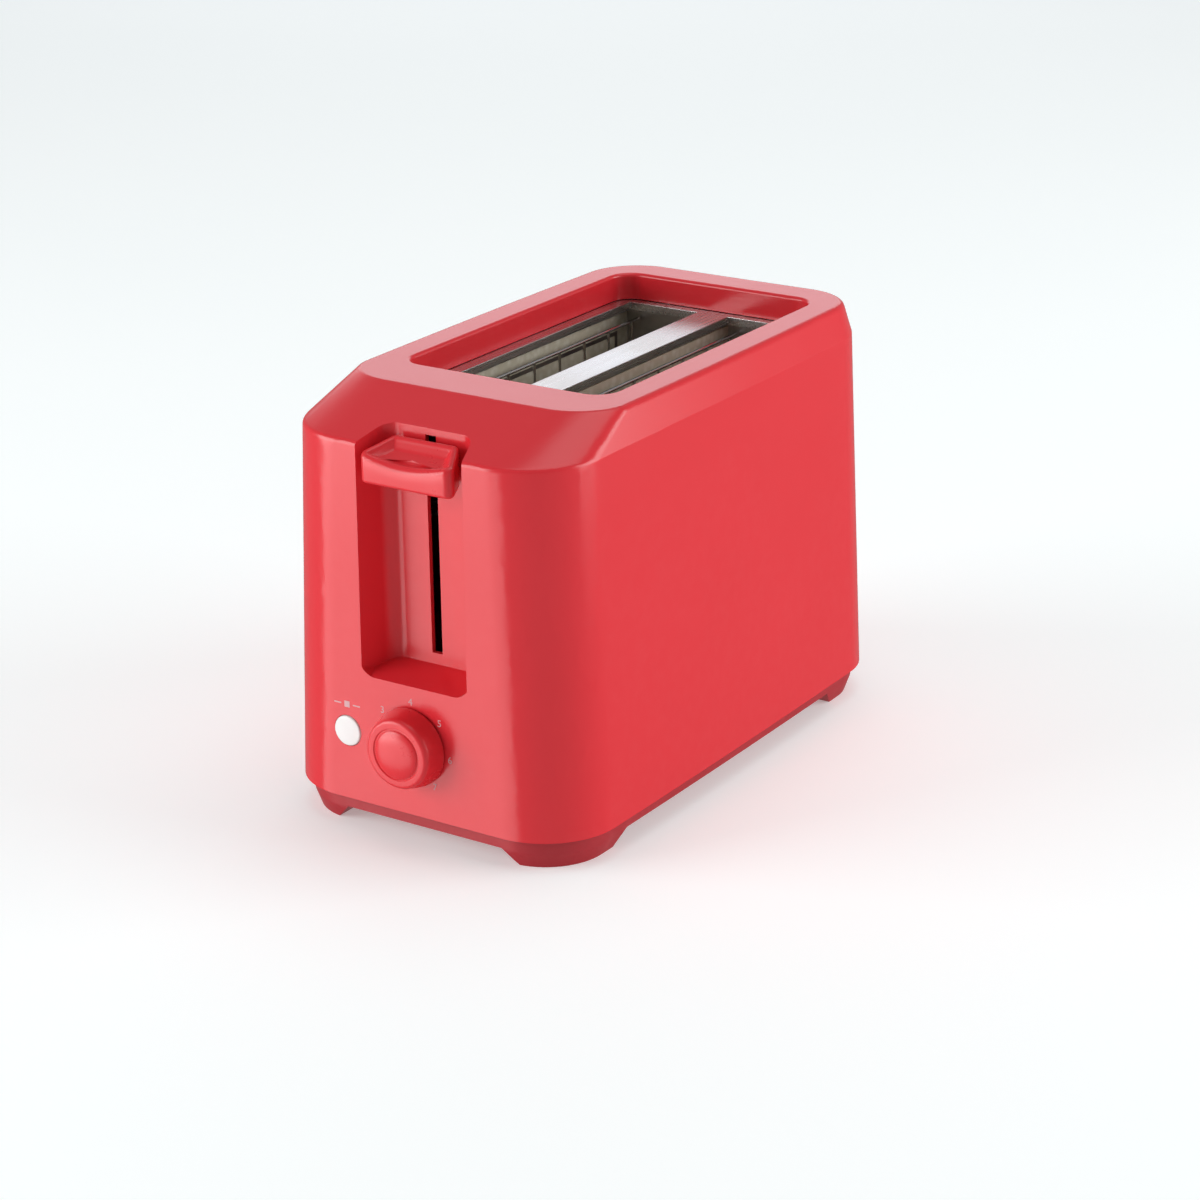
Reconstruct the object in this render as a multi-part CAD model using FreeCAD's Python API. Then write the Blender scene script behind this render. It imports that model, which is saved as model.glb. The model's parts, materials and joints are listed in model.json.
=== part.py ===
"""Two-slice pop-up toaster: housing, base, sheet-metal chassis, heaters, carriage, controls and crumb tray.

Millimetres. +Z is up and the toaster stands on z = 0. The lever end faces -Y. The origin is the middle of
the bounding box's bottom face. A distance called "back" is measured in +Y from the front edge of the
housing's bottom.
"""
import FreeCAD
import Part
import math
import os

V = FreeCAD.Vector

# ---- fits and working margins --------------------------------------------------------------------------------
FIT = 0.05                  # each side of a pressed or pinned joint
OVERLAP = 1.0               # fused shapes run this far into each other
OVERRUN = 5.0               # cutting tools run this far past the faces they cut
NEAR = 1e-4                 # an edge this close to a plane lies in it
SMALL_ROUND = 1.5
FAR = 400.0

# ---- housing ---------------------------------------------------------------------------------------------
HOUSING_LENGTH = 265.0      # at its bottom edge
HOUSING_WIDTH = 152.0       # at its bottom edge, across the widest point of the bowed sides
DECK_Z = 183.5              # flat top
HOUSING_BOTTOM_Z = 13.5     # lower edge of the walls
CREASE_DROP = 14.0          # deck down to the crease where the walls turn into the sloped top band
SIDE_LEAN = 6.0             # each side wall leans in by this from its bottom edge to the crease
END_LEAN = 1.8              # the same for the two end walls
DECK_SIDE_INSET = 4.4       # crease to deck edge along the sides
FRONT_SLOPE_DEPTH = 39.0    # crease to deck edge at the lever end
REAR_SLOPE_DEPTH = 6.5      # crease to deck edge at the rear
CORNER_RADIUS = 33.0
DECK_CORNER_RADIUS = 25.0
SIDE_BOW = 1.2              # bulge of each long side
WALL = 2.2
CREASE_ROUND = 2.4
DECK_ROUND = 3.4

# ---- deck opening ----------------------------------------------------------------------------------------
OPENING_WIDTH = 101.0
OPENING_LENGTH = 172.0
OPENING_BACK = 67.0         # front edge of the opening, back from the housing's front
OPENING_RADIUS = 10.0
LIP_DEPTH = 12.0            # skirt that hangs from the opening's edge
LIP_WALL = 2.0
LIP_ROUND = 1.6

# ---- lever recess ----------------------------------------------------------------------------------------
RECESS_HALF_FRONT = 26.5
RECESS_HALF_BACK = 21.2
RECESS_DEPTH = 17.5
RECESS_FLOOR_GAP = 9.2      # recess floor below the lever at the bottom of its travel
RECESS_FLOOR_RISE = 4.5
RECESS_BACK_ROUND = 8.0     # upright corners at the back
RECESS_FOOT_ROUND = 9.0     # lower corners, seen from the front
SLOT_WIDTH = 5.2
SLOT_END_GAP = 0.8          # slot's bottom end below the arm at the bottom of its travel
SLOT_TOP_GAP = 0.6          # slot's top end below the sloped band's underside

# ---- lever and carriage ----------------------------------------------------------------------------------
TRAVEL = 75.0
ARM_HEIGHT = 10.0
ARM_THICKNESS = 2.0
LEVER_HALF_FRONT = 22.9
LEVER_HALF_BACK = 15.9
LEVER_LENGTH = 16.5
LEVER_DROP = 5.9            # lever's underside below the middle of its arm
LEVER_FRONT_HEIGHT = 10.5
LEVER_RISE = 7.0            # the thumb tray climbs towards the back
LEVER_RIM = 3.4
LEVER_DISH = 3.2
BRACKET_GAP = 4.5           # carriage plate to chassis front plate
LEVER_REACH = 1.5           # lever's front edge ahead of the housing's front
LEVER_NOSE = 4.5            # chamfer on the lever's front corners
ARM_ENGAGEMENT = 8.0        # how far the arm reaches into the lever
BRACKET_T = 1.5
BRACKET_HALF = 33.0
BRACKET_BAR = 10.0          # height of the cross bar that carries the bread rests
RISER_LEFT = 10.5
RISER_RIGHT = 20.5
REST_DEPTH = 59.5           # bread sits this far below the deck with the carriage up
REST_HEIGHT = 8.0
REST_T = 1.2
REST_PRONG_HALF = 11.5
REST_PRONGS = 11
ROD_X = 15.5
ROD_RADIUS = 2.5
ROD_CLEARANCE = 0.05
BUSH_HALF = 5.5
BUSH_LENGTH = 20.0
SPRING_WIRE_RADIUS = 0.45
SPRING_RADIUS = 3.9
SPRING_TURNS = 12
STOP_PAD_T = 2.0
STOP_GAP = 0.3              # carriage bush to stop pad with the lever up
REST_SLOT_GAP = 1.2         # each side of a bread rest where it passes an end plate
REST_SLOT_END_GAP = 2.0     # the same above and below
REST_TAIL = 4.0             # bread rest past the rear plate
KEEPER_HALF = 11.0
KEEPER_T = 3.0
KEEPER_MARGIN = 1.0         # keeper past the magnet at each end
KEEPER_CHAMFER = 0.5
SHELF_HALF = 6.0            # shelf that holds the keeper
PUSHER_HALF = 3.0
PUSHER_GAP = 3.0            # pusher behind the circuit board
ARM_PLATE_LEFT = 4.0        # plate behind the arm, left of its middle
PRONG_TIP = 2.5
PRONG_ROOT_HALF = 3.0
PRONG_DIP = 1.0             # the rest's spine below its prongs' tips
PRONG_DIP_HALF = 4.0
REST_FIRST_PRONG = 8.0      # first prong in from the end plate
BAR_DROP = 2.0              # cross bar below the rests
PAD_INSET = 1.0
BUSH_INSET = 0.5
ROD_TAB_HALF = 7.0
ROD_TAB_T = 2.0
ROD_TAB_LIFT = 2.0          # lower rod tab above the plates' bottom edge
ROD_TOP_GAP = 1.0
ROD_TAB_MARGIN = 3.5        # rod tab past the rod

# ---- chassis ---------------------------------------------------------------------------------------------
SHEET = 0.8
CHASSIS_HALF = 55.0
CHASSIS_BOTTOM_Z = 22.0
PLATE_OUTSET = 1.0          # end plates stand this far outside the opening's ends
TOP_PLATE_MARGIN = 6.0
TOP_GAP = 0.3
BREAD_SLOT_WIDTH = 36.0
BREAD_SLOT_CENTRE = 26.0
BREAD_SLOT_MARGIN = 5.0     # top plate's slots end this far inside the opening's ends
REFLECTOR_T = 0.6
MICA_T = 0.8
OUTER_HEATER_X = 50.0
CENTRE_HEATER_X = 4.5
HEATER_BOTTOM_Z = 28.0
HEATER_TOP_GAP = 5.0
RIBBON_RUNS = 12
RIBBON_WIDTH = 1.8
RIBBON_T = 0.3
RIBBON_MARGIN = 9.0
TERMINAL_Z = 29.0
TERMINAL_INSET = 8.0        # in from the side of the chassis
TERMINAL_HALF = 5.0
TERMINAL_DEPTH = 8.0
TERMINAL_ROUND = 0.8
BLADE_TAB_HALF = 3.0
BLADE_TAB_BELOW = 3.5
BLADE_TAB_ABOVE = 12.0
TAB_LOW = 35.0              # lower tabs above a heater board's bottom edge
TAB_HIGH = 30.0             # upper tabs below the guards' top bar
TAB_HALF = 5.0
TAB_PROUD = 2.0             # tabs past the end plates
BEAD_RADIUS = 1.2
BEAD_END_GAP = 12.0
BREAD_SLOT_LIP = 3.0        # folded edge that hangs from each slot
LEAD_RADIUS = 1.1
FOOT_TAB = 8.0
FOOT_FLANGE = 11.0
CHASSIS_POST_X = 50.5
GUIDE_BAR_RADIUS = 0.8
GUIDE_WIRE_RADIUS = 0.65
GUIDE_OFFSET = 16.5         # guide wires stand this far each side of the slot's middle when open
GUIDE_BOTTOM_Z = 36.0
GUIDE_TOP_DROP = 8.0
GUIDE_WIRES = 9
GUIDE_OVERHANG = 2.2
GUIDE_END_GAP = 1.0
GUIDE_FIRST_WIRE = 6.0      # first upright in from the end of the top bar
PIVOT_CLEARANCE = 0.08

# ---- controls --------------------------------------------------------------------------------------------
DIAL_X = -2.0
DIAL_Z = 44.0
DIAL_PROUD = 12.0
DIAL_RADIUS = 17.0
DIAL_FACE_RADIUS = 15.0
DIAL_DOME_RADIUS = 10.6
DIAL_GAP = 0.3
SHAFT_RADIUS = 3.0
SHAFT_GAP = 1.0
SHAFT_ENGAGEMENT = 4.0      # shaft's end behind the dial's front
SHAFT_END = 2.5             # shaft's end in front of the circuit board
DIAL_DOME_RISE = 1.6
DIAL_DOME_SHOULDER = 0.5
DIAL_DOME_SHARE = 0.72
DIAL_FACE_BEVEL = 1.8
POT_RADIUS = 8.5
POT_DEPTH = 9.0
POT_NECK_RADIUS = 4.6
POT_NECK = 4.0
POT_BORE_END = 2.0
BUTTON_X = -34.5
BUTTON_Z = 43.8
BUTTON_RADIUS = 6.6
BUTTON_PROUD = 0.9
BUTTON_TRAVEL = 1.5
BUTTON_CLEARANCE = 0.25
BUTTON_FLANGE = 1.8
BUTTON_FLANGE_T = 1.5
BUTTON_STEM = 2.2
BUTTON_ROUND = 0.7
SWITCH_HALF = 3.2
SWITCH_DEPTH = 4.0
SWITCH_CHAMFER = 0.4
BOARD_BACK = 26.0
BOARD_T = 1.6
BOARD_HALF = 42.0
BOARD_BOTTOM_Z = 22.0
BOARD_TOP_Z = 64.0
BOARD_POST_IN = 5.0         # post that grips the board's edge: in, out, wall and grip
BOARD_POST_OUT = 2.0
BOARD_POST_WALL = 2.5
BOARD_POST_GRIP = 9.0
BOARD_SIDE_GAP = 0.1
MAGNET_X = -18.0
MAGNET_Y_GAP = 4.0          # core behind the circuit board
MAGNET_DEPTH = 12.0
MAGNET_TOP_Z = 57.8
MAGNET_HEIGHT = 22.0
MAGNET_LEG = 3.0
COIL_HALF = 7.5
COIL_MARGIN = 2.5           # winding past the core
COIL_ROUND = 2.0
COIL_LIFT = 0.5
COIL_TOP_GAP = 2.0
MAGNET_NECK = 4.0
KEEPER_GAP = 0.3
CONTACT_X = 28.0
BLADE_SPACING = 8.0
BLADE_HALF = 2.5
BLADE_T = 0.4
BLADE_STANDOFF = 5.0
BLADE_LIFT = 4.0
BLADE_TOP_GAP = 1.0

# ---- base ------------------------------------------------------------------------------------------------
PLINTH_INSET = 4.0
PLINTH_BOTTOM_Z = 7.0
FLOOR_Z = 9.0
FLOOR_T = 2.5
RIM_TOP_Z = 18.0
RIM_WALL = 2.0
FOOT_TAPER = 2.5
FOOT_WIDTH = 30.0           # from the side of the housing to a foot's inner end at the ground
FOOT_LENGTH = 41.0          # the same from the end of the housing
FOOT_SPLAY = 7.0
FOOT_SKIN = 2.5
FOOT_HOLLOW_STEP = 0.5      # foot's hollow in from the rim's inner face
BOSS_SIDE = 15.0            # boss centre, in from the side of the housing
BOSS_END = 58.0             # boss centre, in from the end of the housing
BOSS_RADIUS = 4.5
BOSS_HEIGHT = 30.0
BOSS_RIB = 14.0             # web from a boss to the side wall
BOSS_RIB_T = 2.0
BOSS_RIB_LIFT = 6.0
BOSS_BLIND = 6.0            # solid top of a post above its screw hole
SCREW_RADIUS = 1.5
SCREW_HEAD_RADIUS = 3.2
SCREW_HEAD_T = 2.0
SCREW_HEAD_CHAMFER = 0.6
SCREW_CROSS_LENGTH = 3.8
SCREW_CROSS_WIDTH = 0.7
SCREW_CROSS_DEPTH = 1.0
SCREW_CLEARANCE = 0.1
BASE_SCREW_LENGTH = 20.0
CHASSIS_SCREW_LENGTH = 7.0
SCREW_WELL_RADIUS = 3.7     # well up through a foot to a chassis screw
SCREW_WELL_WALL = 1.5

# ---- crumb tray and cord entry ---------------------------------------------------------------------------
TRAY_HALF = 44.0
TRAY_DEPTH = 6.0
TRAY_LIFT = 0.5
TRAY_SIDE_GAP = 0.6
TRAY_PROUD = 3.0
TRAY_STOP_GAP = 1.0
TRAY_SETBACK = 4.0          # tray's front end behind the front plate
RAIL_T = 1.5
RAIL_END_GAP = 2.0
HANDLE_HALF = 46.5
HANDLE_TOP_Z = 24.0
HANDLE_GAP = 0.5
HANDLE_WALL = 2.0
HANDLE_REACH = 2.0          # handle's inner end inside the rim
HANDLE_LIFT = 0.3
HANDLE_ROUND = 1.6
SCOOP_SHARE = 0.6
SCOOP_BACK = 1.0
SCOOP_HEIGHT = 5.0
GLAND_X = 32.0
GLAND_Z = 46.0
GLAND_BORE = 3.6
GLAND_RADIUS = 5.6
GLAND_FLANGE = 7.5
GLAND_INNER = 10.0          # gland's inner end behind the rear wall's outer face
LEAD_GAP = 5.0              # leads run this far beside the right reflector
LEAD_BEND = 6.0
LEAD_PITCH = 2.5
LEAD_START_GAP = 0.3
LEAD_TURN = 7.0             # leads turn this far behind the rear plate
LEAD_FRONT_TURN = 12.0      # and this far behind the circuit board
LEAD_BOARD_INSET = 6.0
GLAND_FIT = 0.1
GLAND_FLANGE_T = 1.8
GLAND_ROUND = 0.8
RING_MARGIN = 0.5
RING_GAP = 0.4
RING_T = 2.8

# ---- derived places --------------------------------------------------------------------------------------
BOSS_X = HOUSING_WIDTH / 2 - BOSS_SIDE
HOUSING_Y = (DIAL_PROUD - TRAY_PROUD) / 2
FRONT_Y = HOUSING_Y - HOUSING_LENGTH / 2
REAR_Y = HOUSING_Y + HOUSING_LENGTH / 2
CREASE_Z = DECK_Z - CREASE_DROP
OPENING_FRONT_Y = FRONT_Y + OPENING_BACK
OPENING_REAR_Y = OPENING_FRONT_Y + OPENING_LENGTH
LIP_BOTTOM_Z = DECK_Z - LIP_DEPTH
FRONT_PLATE_Y = OPENING_FRONT_Y - PLATE_OUTSET      # inner face of the front end plate
REAR_PLATE_Y = OPENING_REAR_Y + PLATE_OUTSET        # inner face of the rear end plate
PLATE_TOP_Z = LIP_BOTTOM_Z - TOP_GAP - SHEET        # underside of the top plate
BRACKET_BACK_Y = FRONT_PLATE_Y - SHEET - BRACKET_GAP
BRACKET_FRONT_Y = BRACKET_BACK_Y - BRACKET_T
ROD_Y = BRACKET_FRONT_Y - BUSH_HALF
REST_TOP_Z = DECK_Z - REST_DEPTH
REST_BOTTOM_Z = REST_TOP_Z - REST_HEIGHT
BAR_BOTTOM_Z = REST_BOTTOM_Z - BAR_DROP
BOARD_Y = FRONT_Y + BOARD_BACK
FLOOR_TOP_Z = FLOOR_Z + FLOOR_T
GUIDE_TOP_Z = PLATE_TOP_Z - GUIDE_TOP_DROP
ROD_BOTTOM_Z = CHASSIS_BOTTOM_Z + ROD_TAB_LIFT
ROD_TOP_Z = PLATE_TOP_Z - ROD_TOP_GAP
SPRING_SEAT_Z = ROD_BOTTOM_Z + ROD_TAB_T
UPPER_BRACKET_Z = ROD_TOP_Z - ROD_TAB_T
RISER_TOP_Z = UPPER_BRACKET_Z - STOP_PAD_T - STOP_GAP
BUSH_BOTTOM_Z = RISER_TOP_Z - BUSH_LENGTH
ARM_Z = RISER_TOP_Z - ARM_HEIGHT / 2
LEVER_BOTTOM_Z = ARM_Z - LEVER_DROP
RECESS_FLOOR_Z = LEVER_BOTTOM_Z - TRAVEL - RECESS_FLOOR_GAP
SLOT_BOTTOM_Z = ARM_Z - ARM_HEIGHT / 2 - TRAVEL - SLOT_END_GAP
LEAD_X = CHASSIS_HALF + LEAD_GAP
KEEPER_Z = MAGNET_TOP_Z + KEEPER_GAP + TRAVEL       # keeper's underside with the carriage up
MAGNET_Y = BOARD_Y + BOARD_T + MAGNET_Y_GAP
LEVER_FRONT_Y = FRONT_Y - LEVER_REACH
LEVER_BACK_Y = LEVER_FRONT_Y + LEVER_LENGTH
TRAY_FRONT_Y = FRONT_PLATE_Y + TRAY_SETBACK
TRAY_Z = FLOOR_TOP_Z + TRAY_LIFT

def box(x0, x1, y0, y1, z0, z1):
    """Box between two corners."""
    return Part.makeBox(x1 - x0, y1 - y0, z1 - z0, V(x0, y0, z0))


def rod_y(x, z, radius, y0, y1):
    """Cylinder along +Y from y0 to y1."""
    return Part.makeCylinder(radius, y1 - y0, V(x, y0, z), V(0, 1, 0))


def rod_z(x, y, radius, z0, z1):
    """Cylinder along +Z from z0 to z1."""
    return Part.makeCylinder(radius, z1 - z0, V(x, y, z0), V(0, 0, 1))


def prism(points, direction):
    """Closed polygon extruded along a vector."""
    return Part.Face(Part.makePolygon(points + [points[0]])).extrude(direction)


def joined(shapes):
    """One fused shape with its splitting edges removed."""
    return shapes[0].multiFuse(shapes[1:]).removeSplitter()


def slab(half_w, y0, y1, radius, z0, z1):
    """Upright block with rounded corners."""
    block = box(-half_w, half_w, y0, y1, z0, z1)
    upright = [e for e in block.Edges if abs(e.Vertexes[0].Z - e.Vertexes[1].Z) > NEAR]
    return block.makeFillet(radius, upright)


def upright_edges(shape):
    """Edges that stand upright or nearly so."""
    return [e for e in shape.Edges if abs(e.Vertexes[0].Z - e.Vertexes[1].Z) > OVERRUN]


def save(name, shape):
    """Writes one sub-part, checked and with its solids only."""
    solids = shape.Solids
    assert solids and all(s.isValid() and s.Volume > 0 for s in solids), name
    body = solids[0] if len(solids) == 1 else Part.makeCompound(solids)
    body.exportStep("parts/%s.step" % name)


def outline(half_w, y0, y1, radius, bow, z):
    """Rounded rectangle whose two long sides bow outwards, as one closed wire."""
    half_l = (y1 - y0) / 2
    yc = (y0 + y1) / 2
    side_r = (half_l ** 2 + bow ** 2) / (2 * bow)
    side_x = half_w - side_r
    cx = side_x + math.sqrt((side_r - radius) ** 2 - (half_l - radius) ** 2)
    turn = math.atan2(half_l - radius, cx - side_x)
    side_tangent = V(side_x + side_r * math.cos(turn), side_r * math.sin(turn), 0)
    mid = (turn + math.pi / 2) / 2
    corner_mid = V(cx + radius * math.cos(mid), half_l - radius + radius * math.sin(mid), 0)
    end_tangent = V(cx, half_l, 0)

    def place(p, sx, sy):
        return V(sx * p.x, yc + sy * p.y, z)

    right = V(half_w, 0, 0)
    edges = []
    edges.append(Part.LineSegment(place(end_tangent, -1, -1), place(end_tangent, 1, -1)))
    edges.append(Part.Arc(place(end_tangent, 1, -1), place(corner_mid, 1, -1), place(side_tangent, 1, -1)))
    edges.append(Part.Arc(place(side_tangent, 1, -1), place(right, 1, 1), place(side_tangent, 1, 1)))
    edges.append(Part.Arc(place(side_tangent, 1, 1), place(corner_mid, 1, 1), place(end_tangent, 1, 1)))
    edges.append(Part.LineSegment(place(end_tangent, 1, 1), place(end_tangent, -1, 1)))
    edges.append(Part.Arc(place(end_tangent, -1, 1), place(corner_mid, -1, 1), place(side_tangent, -1, 1)))
    edges.append(Part.Arc(place(side_tangent, -1, 1), place(right, -1, 1), place(side_tangent, -1, -1)))
    edges.append(Part.Arc(place(side_tangent, -1, -1), place(corner_mid, -1, -1), place(end_tangent, -1, -1)))
    return Part.Wire([e.toShape() for e in edges])


def wall_share(z):
    """How far up the leaning walls a height is: 0 at the housing's bottom edge, 1 at the crease."""
    return (z - HOUSING_BOTTOM_Z) / (CREASE_Z - HOUSING_BOTTOM_Z)


def front_y(z):
    """Outer face of the lever-end wall at a height below the crease."""
    return FRONT_Y + END_LEAN * wall_share(z)


def rear_y(z):
    """Outer face of the rear wall at a height below the crease."""
    return REAR_Y - END_LEAN * wall_share(z)


def slope_z(back):
    """Height of the front sloped band at a distance back from the housing's front."""
    return CREASE_Z + CREASE_DROP * (back - END_LEAN) / FRONT_SLOPE_DEPTH


def housing_sections(inset, bottom_z, top_drop):
    """The three outlines that the housing's skin is lofted through, drawn in by inset."""
    bow = SIDE_BOW
    sections = []
    lean = SIDE_LEAN * wall_share(bottom_z)
    end = END_LEAN * wall_share(bottom_z)
    sections.append(outline(HOUSING_WIDTH / 2 - lean - inset, FRONT_Y + end + inset, REAR_Y - end - inset,
                            CORNER_RADIUS - inset, bow, bottom_z))
    crease = CREASE_Z - 0.5 * top_drop
    sections.append(outline(HOUSING_WIDTH / 2 - SIDE_LEAN - inset, FRONT_Y + END_LEAN + inset,
                            REAR_Y - END_LEAN - inset, CORNER_RADIUS - inset, bow, crease))
    sections.append(outline(HOUSING_WIDTH / 2 - SIDE_LEAN - DECK_SIDE_INSET - inset,
                            FRONT_Y + END_LEAN + FRONT_SLOPE_DEPTH + inset,
                            REAR_Y - END_LEAN - REAR_SLOPE_DEPTH - inset,
                            DECK_CORNER_RADIUS - 0.5 * inset, bow, DECK_Z - top_drop))
    return sections


def loop_edges(shape, z):
    """Edges that lie whole in the plane at height z."""
    return [e for e in shape.Edges if abs(e.BoundBox.ZMin - z) < NEAR and abs(e.BoundBox.ZMax - z) < NEAR]


def housing_skin():
    """Outer form of the housing as a solid, with its crease and deck edges rounded."""
    body = Part.makeLoft(housing_sections(0.0, HOUSING_BOTTOM_Z, 0.0), True, True)
    body = body.makeFillet(DECK_ROUND, loop_edges(body, DECK_Z))
    return body.makeFillet(CREASE_ROUND, loop_edges(body, CREASE_Z))


def recess_block(grow):
    """Space of the lever recess, grown by a wall's thickness."""
    front = FRONT_Y - OVERRUN
    back = FRONT_Y + RECESS_DEPTH + grow
    low = RECESS_FLOOR_Z - grow
    flare = (RECESS_HALF_FRONT - RECESS_HALF_BACK) / RECESS_DEPTH
    wide = RECESS_HALF_FRONT + grow + OVERRUN * flare
    rear = wide - flare * (back - front)
    plan = prism([V(-wide, front, low), V(wide, front, low), V(rear, back, low), V(-rear, back, low)], V(0, 0, FAR))
    plan = plan.makeFillet(RECESS_BACK_ROUND + grow,
                           [e for e in upright_edges(plan) if e.BoundBox.Center.y > back - OVERLAP])
    across = box(-wide, wide, front, back, low, FAR)
    across = across.makeFillet(RECESS_FOOT_ROUND + grow, [e for e in across.Edges if e.BoundBox.ZMax < low + OVERLAP
                                                          and abs(e.BoundBox.Center.x) > wide - OVERLAP])
    rise = RECESS_FLOOR_RISE / RECESS_DEPTH
    side = [V(-FAR / 2, front, low - OVERRUN * rise), V(-FAR / 2, back, low + RECESS_FLOOR_RISE + grow * rise),
            V(-FAR / 2, back, FAR), V(-FAR / 2, front, FAR)]
    return plan.common(across).common(prism(side, V(FAR, 0, 0)))


def boss_places():
    """Centres of the four posts that screw the base to the housing."""
    along = HOUSING_LENGTH / 2 - BOSS_END
    return [(sx * BOSS_X, HOUSING_Y + sy * along) for sx in (-1, 1) for sy in (-1, 1)]


def make_housing():
    """One moulding: walls, sloped band, deck, opening with its skirt, lever recess and screw posts."""
    skin = housing_skin()
    hollow = Part.makeLoft(housing_sections(WALL, HOUSING_BOTTOM_Z - OVERRUN, WALL), True, True)
    skirt = slab(OPENING_WIDTH / 2 + LIP_WALL, OPENING_FRONT_Y - LIP_WALL, OPENING_REAR_Y + LIP_WALL,
                 OPENING_RADIUS + LIP_WALL, LIP_BOTTOM_Z, DECK_Z - WALL / 2)
    post_top = FLOOR_TOP_Z + BOSS_HEIGHT
    posts = []
    for x, y in boss_places():
        posts.append(rod_z(x, y, BOSS_RADIUS, FLOOR_TOP_Z, post_top))
        side = 1 if x > 0 else -1
        x0, x1 = sorted((x, x + side * BOSS_RIB))
        posts.append(box(x0, x1, y - BOSS_RIB_T / 2, y + BOSS_RIB_T / 2, HOUSING_BOTTOM_Z + BOSS_RIB_LIFT,
                         post_top))
    above_floor = skin.cut(box(-FAR, FAR, -FAR, FAR, -FAR, FLOOR_TOP_Z))
    filled = joined([recess_block(WALL), skirt] + posts).common(above_floor)
    body = skin.cut(hollow).fuse(filled)
    body = body.cut(recess_block(0.0))
    opening = slab(OPENING_WIDTH / 2, OPENING_FRONT_Y, OPENING_REAR_Y, OPENING_RADIUS, LIP_BOTTOM_Z - OVERRUN,
                   DECK_Z + OVERRUN)
    body = body.cut(opening)
    back_y = FRONT_Y + RECESS_DEPTH
    inside_front = FRONT_Y + WALL + OVERRUN
    inside_rear = REAR_Y - WALL - OVERRUN
    cuts = [box(-SLOT_WIDTH / 2, SLOT_WIDTH / 2, back_y - OVERRUN, back_y + WALL + OVERRUN, SLOT_BOTTOM_Z,
                slope_z(RECESS_DEPTH) - WALL - SLOT_TOP_GAP)]
    cuts.append(rod_y(DIAL_X, DIAL_Z, SHAFT_RADIUS + SHAFT_GAP, FRONT_Y - OVERRUN, inside_front))
    cuts.append(rod_y(BUTTON_X, BUTTON_Z, BUTTON_RADIUS + BUTTON_CLEARANCE, FRONT_Y - OVERRUN, inside_front))
    cuts.append(rod_y(GLAND_X, GLAND_Z, GLAND_RADIUS + GLAND_FIT, inside_rear, REAR_Y + OVERRUN))
    cuts.append(box(-HANDLE_HALF - HANDLE_GAP, HANDLE_HALF + HANDLE_GAP, inside_rear, REAR_Y + OVERRUN,
                    HOUSING_BOTTOM_Z - OVERRUN, HANDLE_TOP_Z + HANDLE_GAP))
    for x, y in boss_places():
        cuts.append(rod_z(x, y, SCREW_RADIUS, FLOOR_TOP_Z - OVERLAP, post_top - BOSS_BLIND))
    body = body.cut(Part.makeCompound(cuts)).removeSplitter()
    lip = [e for e in loop_edges(body, DECK_Z) if abs(e.BoundBox.Center.x) < OPENING_WIDTH / 2 + OVERLAP
           and OPENING_FRONT_Y - OVERLAP < e.BoundBox.Center.y < OPENING_REAR_Y + OVERLAP]
    return body.makeFillet(LIP_ROUND, lip)


def screw(x, y, top_z, length):
    """Pan-head screw driven upwards, its head's seat at top_z, with a cross slot."""
    shank = rod_z(x, y, SCREW_RADIUS, top_z, top_z + length)
    head = rod_z(x, y, SCREW_HEAD_RADIUS, top_z - SCREW_HEAD_T, top_z)
    head = head.makeChamfer(SCREW_HEAD_CHAMFER, loop_edges(head, top_z - SCREW_HEAD_T))
    low = top_z - SCREW_HEAD_T - OVERLAP
    high = low + OVERLAP + SCREW_CROSS_DEPTH
    long, wide = SCREW_CROSS_LENGTH / 2, SCREW_CROSS_WIDTH / 2
    cross = [box(x - dx, x + dx, y - dy, y + dy, low, high) for dx, dy in ((long, wide), (wide, long))]
    return shank.fuse(head).removeSplitter().cut(Part.makeCompound(cross))


def chassis_foot_places():
    """Centres of the four screws that hold the end plates' flanges to the base."""
    front = FRONT_PLATE_Y - SHEET - FOOT_FLANGE / 2
    rear = REAR_PLATE_Y + SHEET + FOOT_FLANGE / 2
    return [(sx * CHASSIS_POST_X, y) for sx in (-1, 1) for y in (front, rear)]


def base_outline(inset, z):
    """Plinth outline at height z, drawn in from the housing's bottom outline."""
    return outline(HOUSING_WIDTH / 2 - inset, FRONT_Y + inset, REAR_Y - inset, CORNER_RADIUS - inset,
                   SIDE_BOW, z)


def at_corners(solid, inset, splay, top_z):
    """The four corners of a solid where the feet stand, their inner ends splayed per unit of height."""
    x_low = HOUSING_WIDTH / 2 - FOOT_WIDTH + inset
    x_high = x_low - splay * top_z
    y_low = HOUSING_LENGTH / 2 - FOOT_LENGTH + inset
    y_high = y_low - splay * top_z
    corners = []
    for sx in (-1, 1):
        face = [V(sx * x_low, -FAR, 0), V(sx * FAR, -FAR, 0), V(sx * FAR, -FAR, top_z),
                V(sx * x_high, -FAR, top_z)]
        wedge_x = prism(face, V(0, 2 * FAR, 0))
        for sy in (-1, 1):
            end = HOUSING_Y + sy * FAR
            side = [V(0, HOUSING_Y + sy * y_low, 0), V(0, end, 0), V(0, end, top_z),
                    V(0, HOUSING_Y + sy * y_high, top_z)]
            wedge_y = prism(side, V(sx * FAR, 0, 0))
            corners.append(solid.common(wedge_x).common(wedge_y))
    return corners


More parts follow.
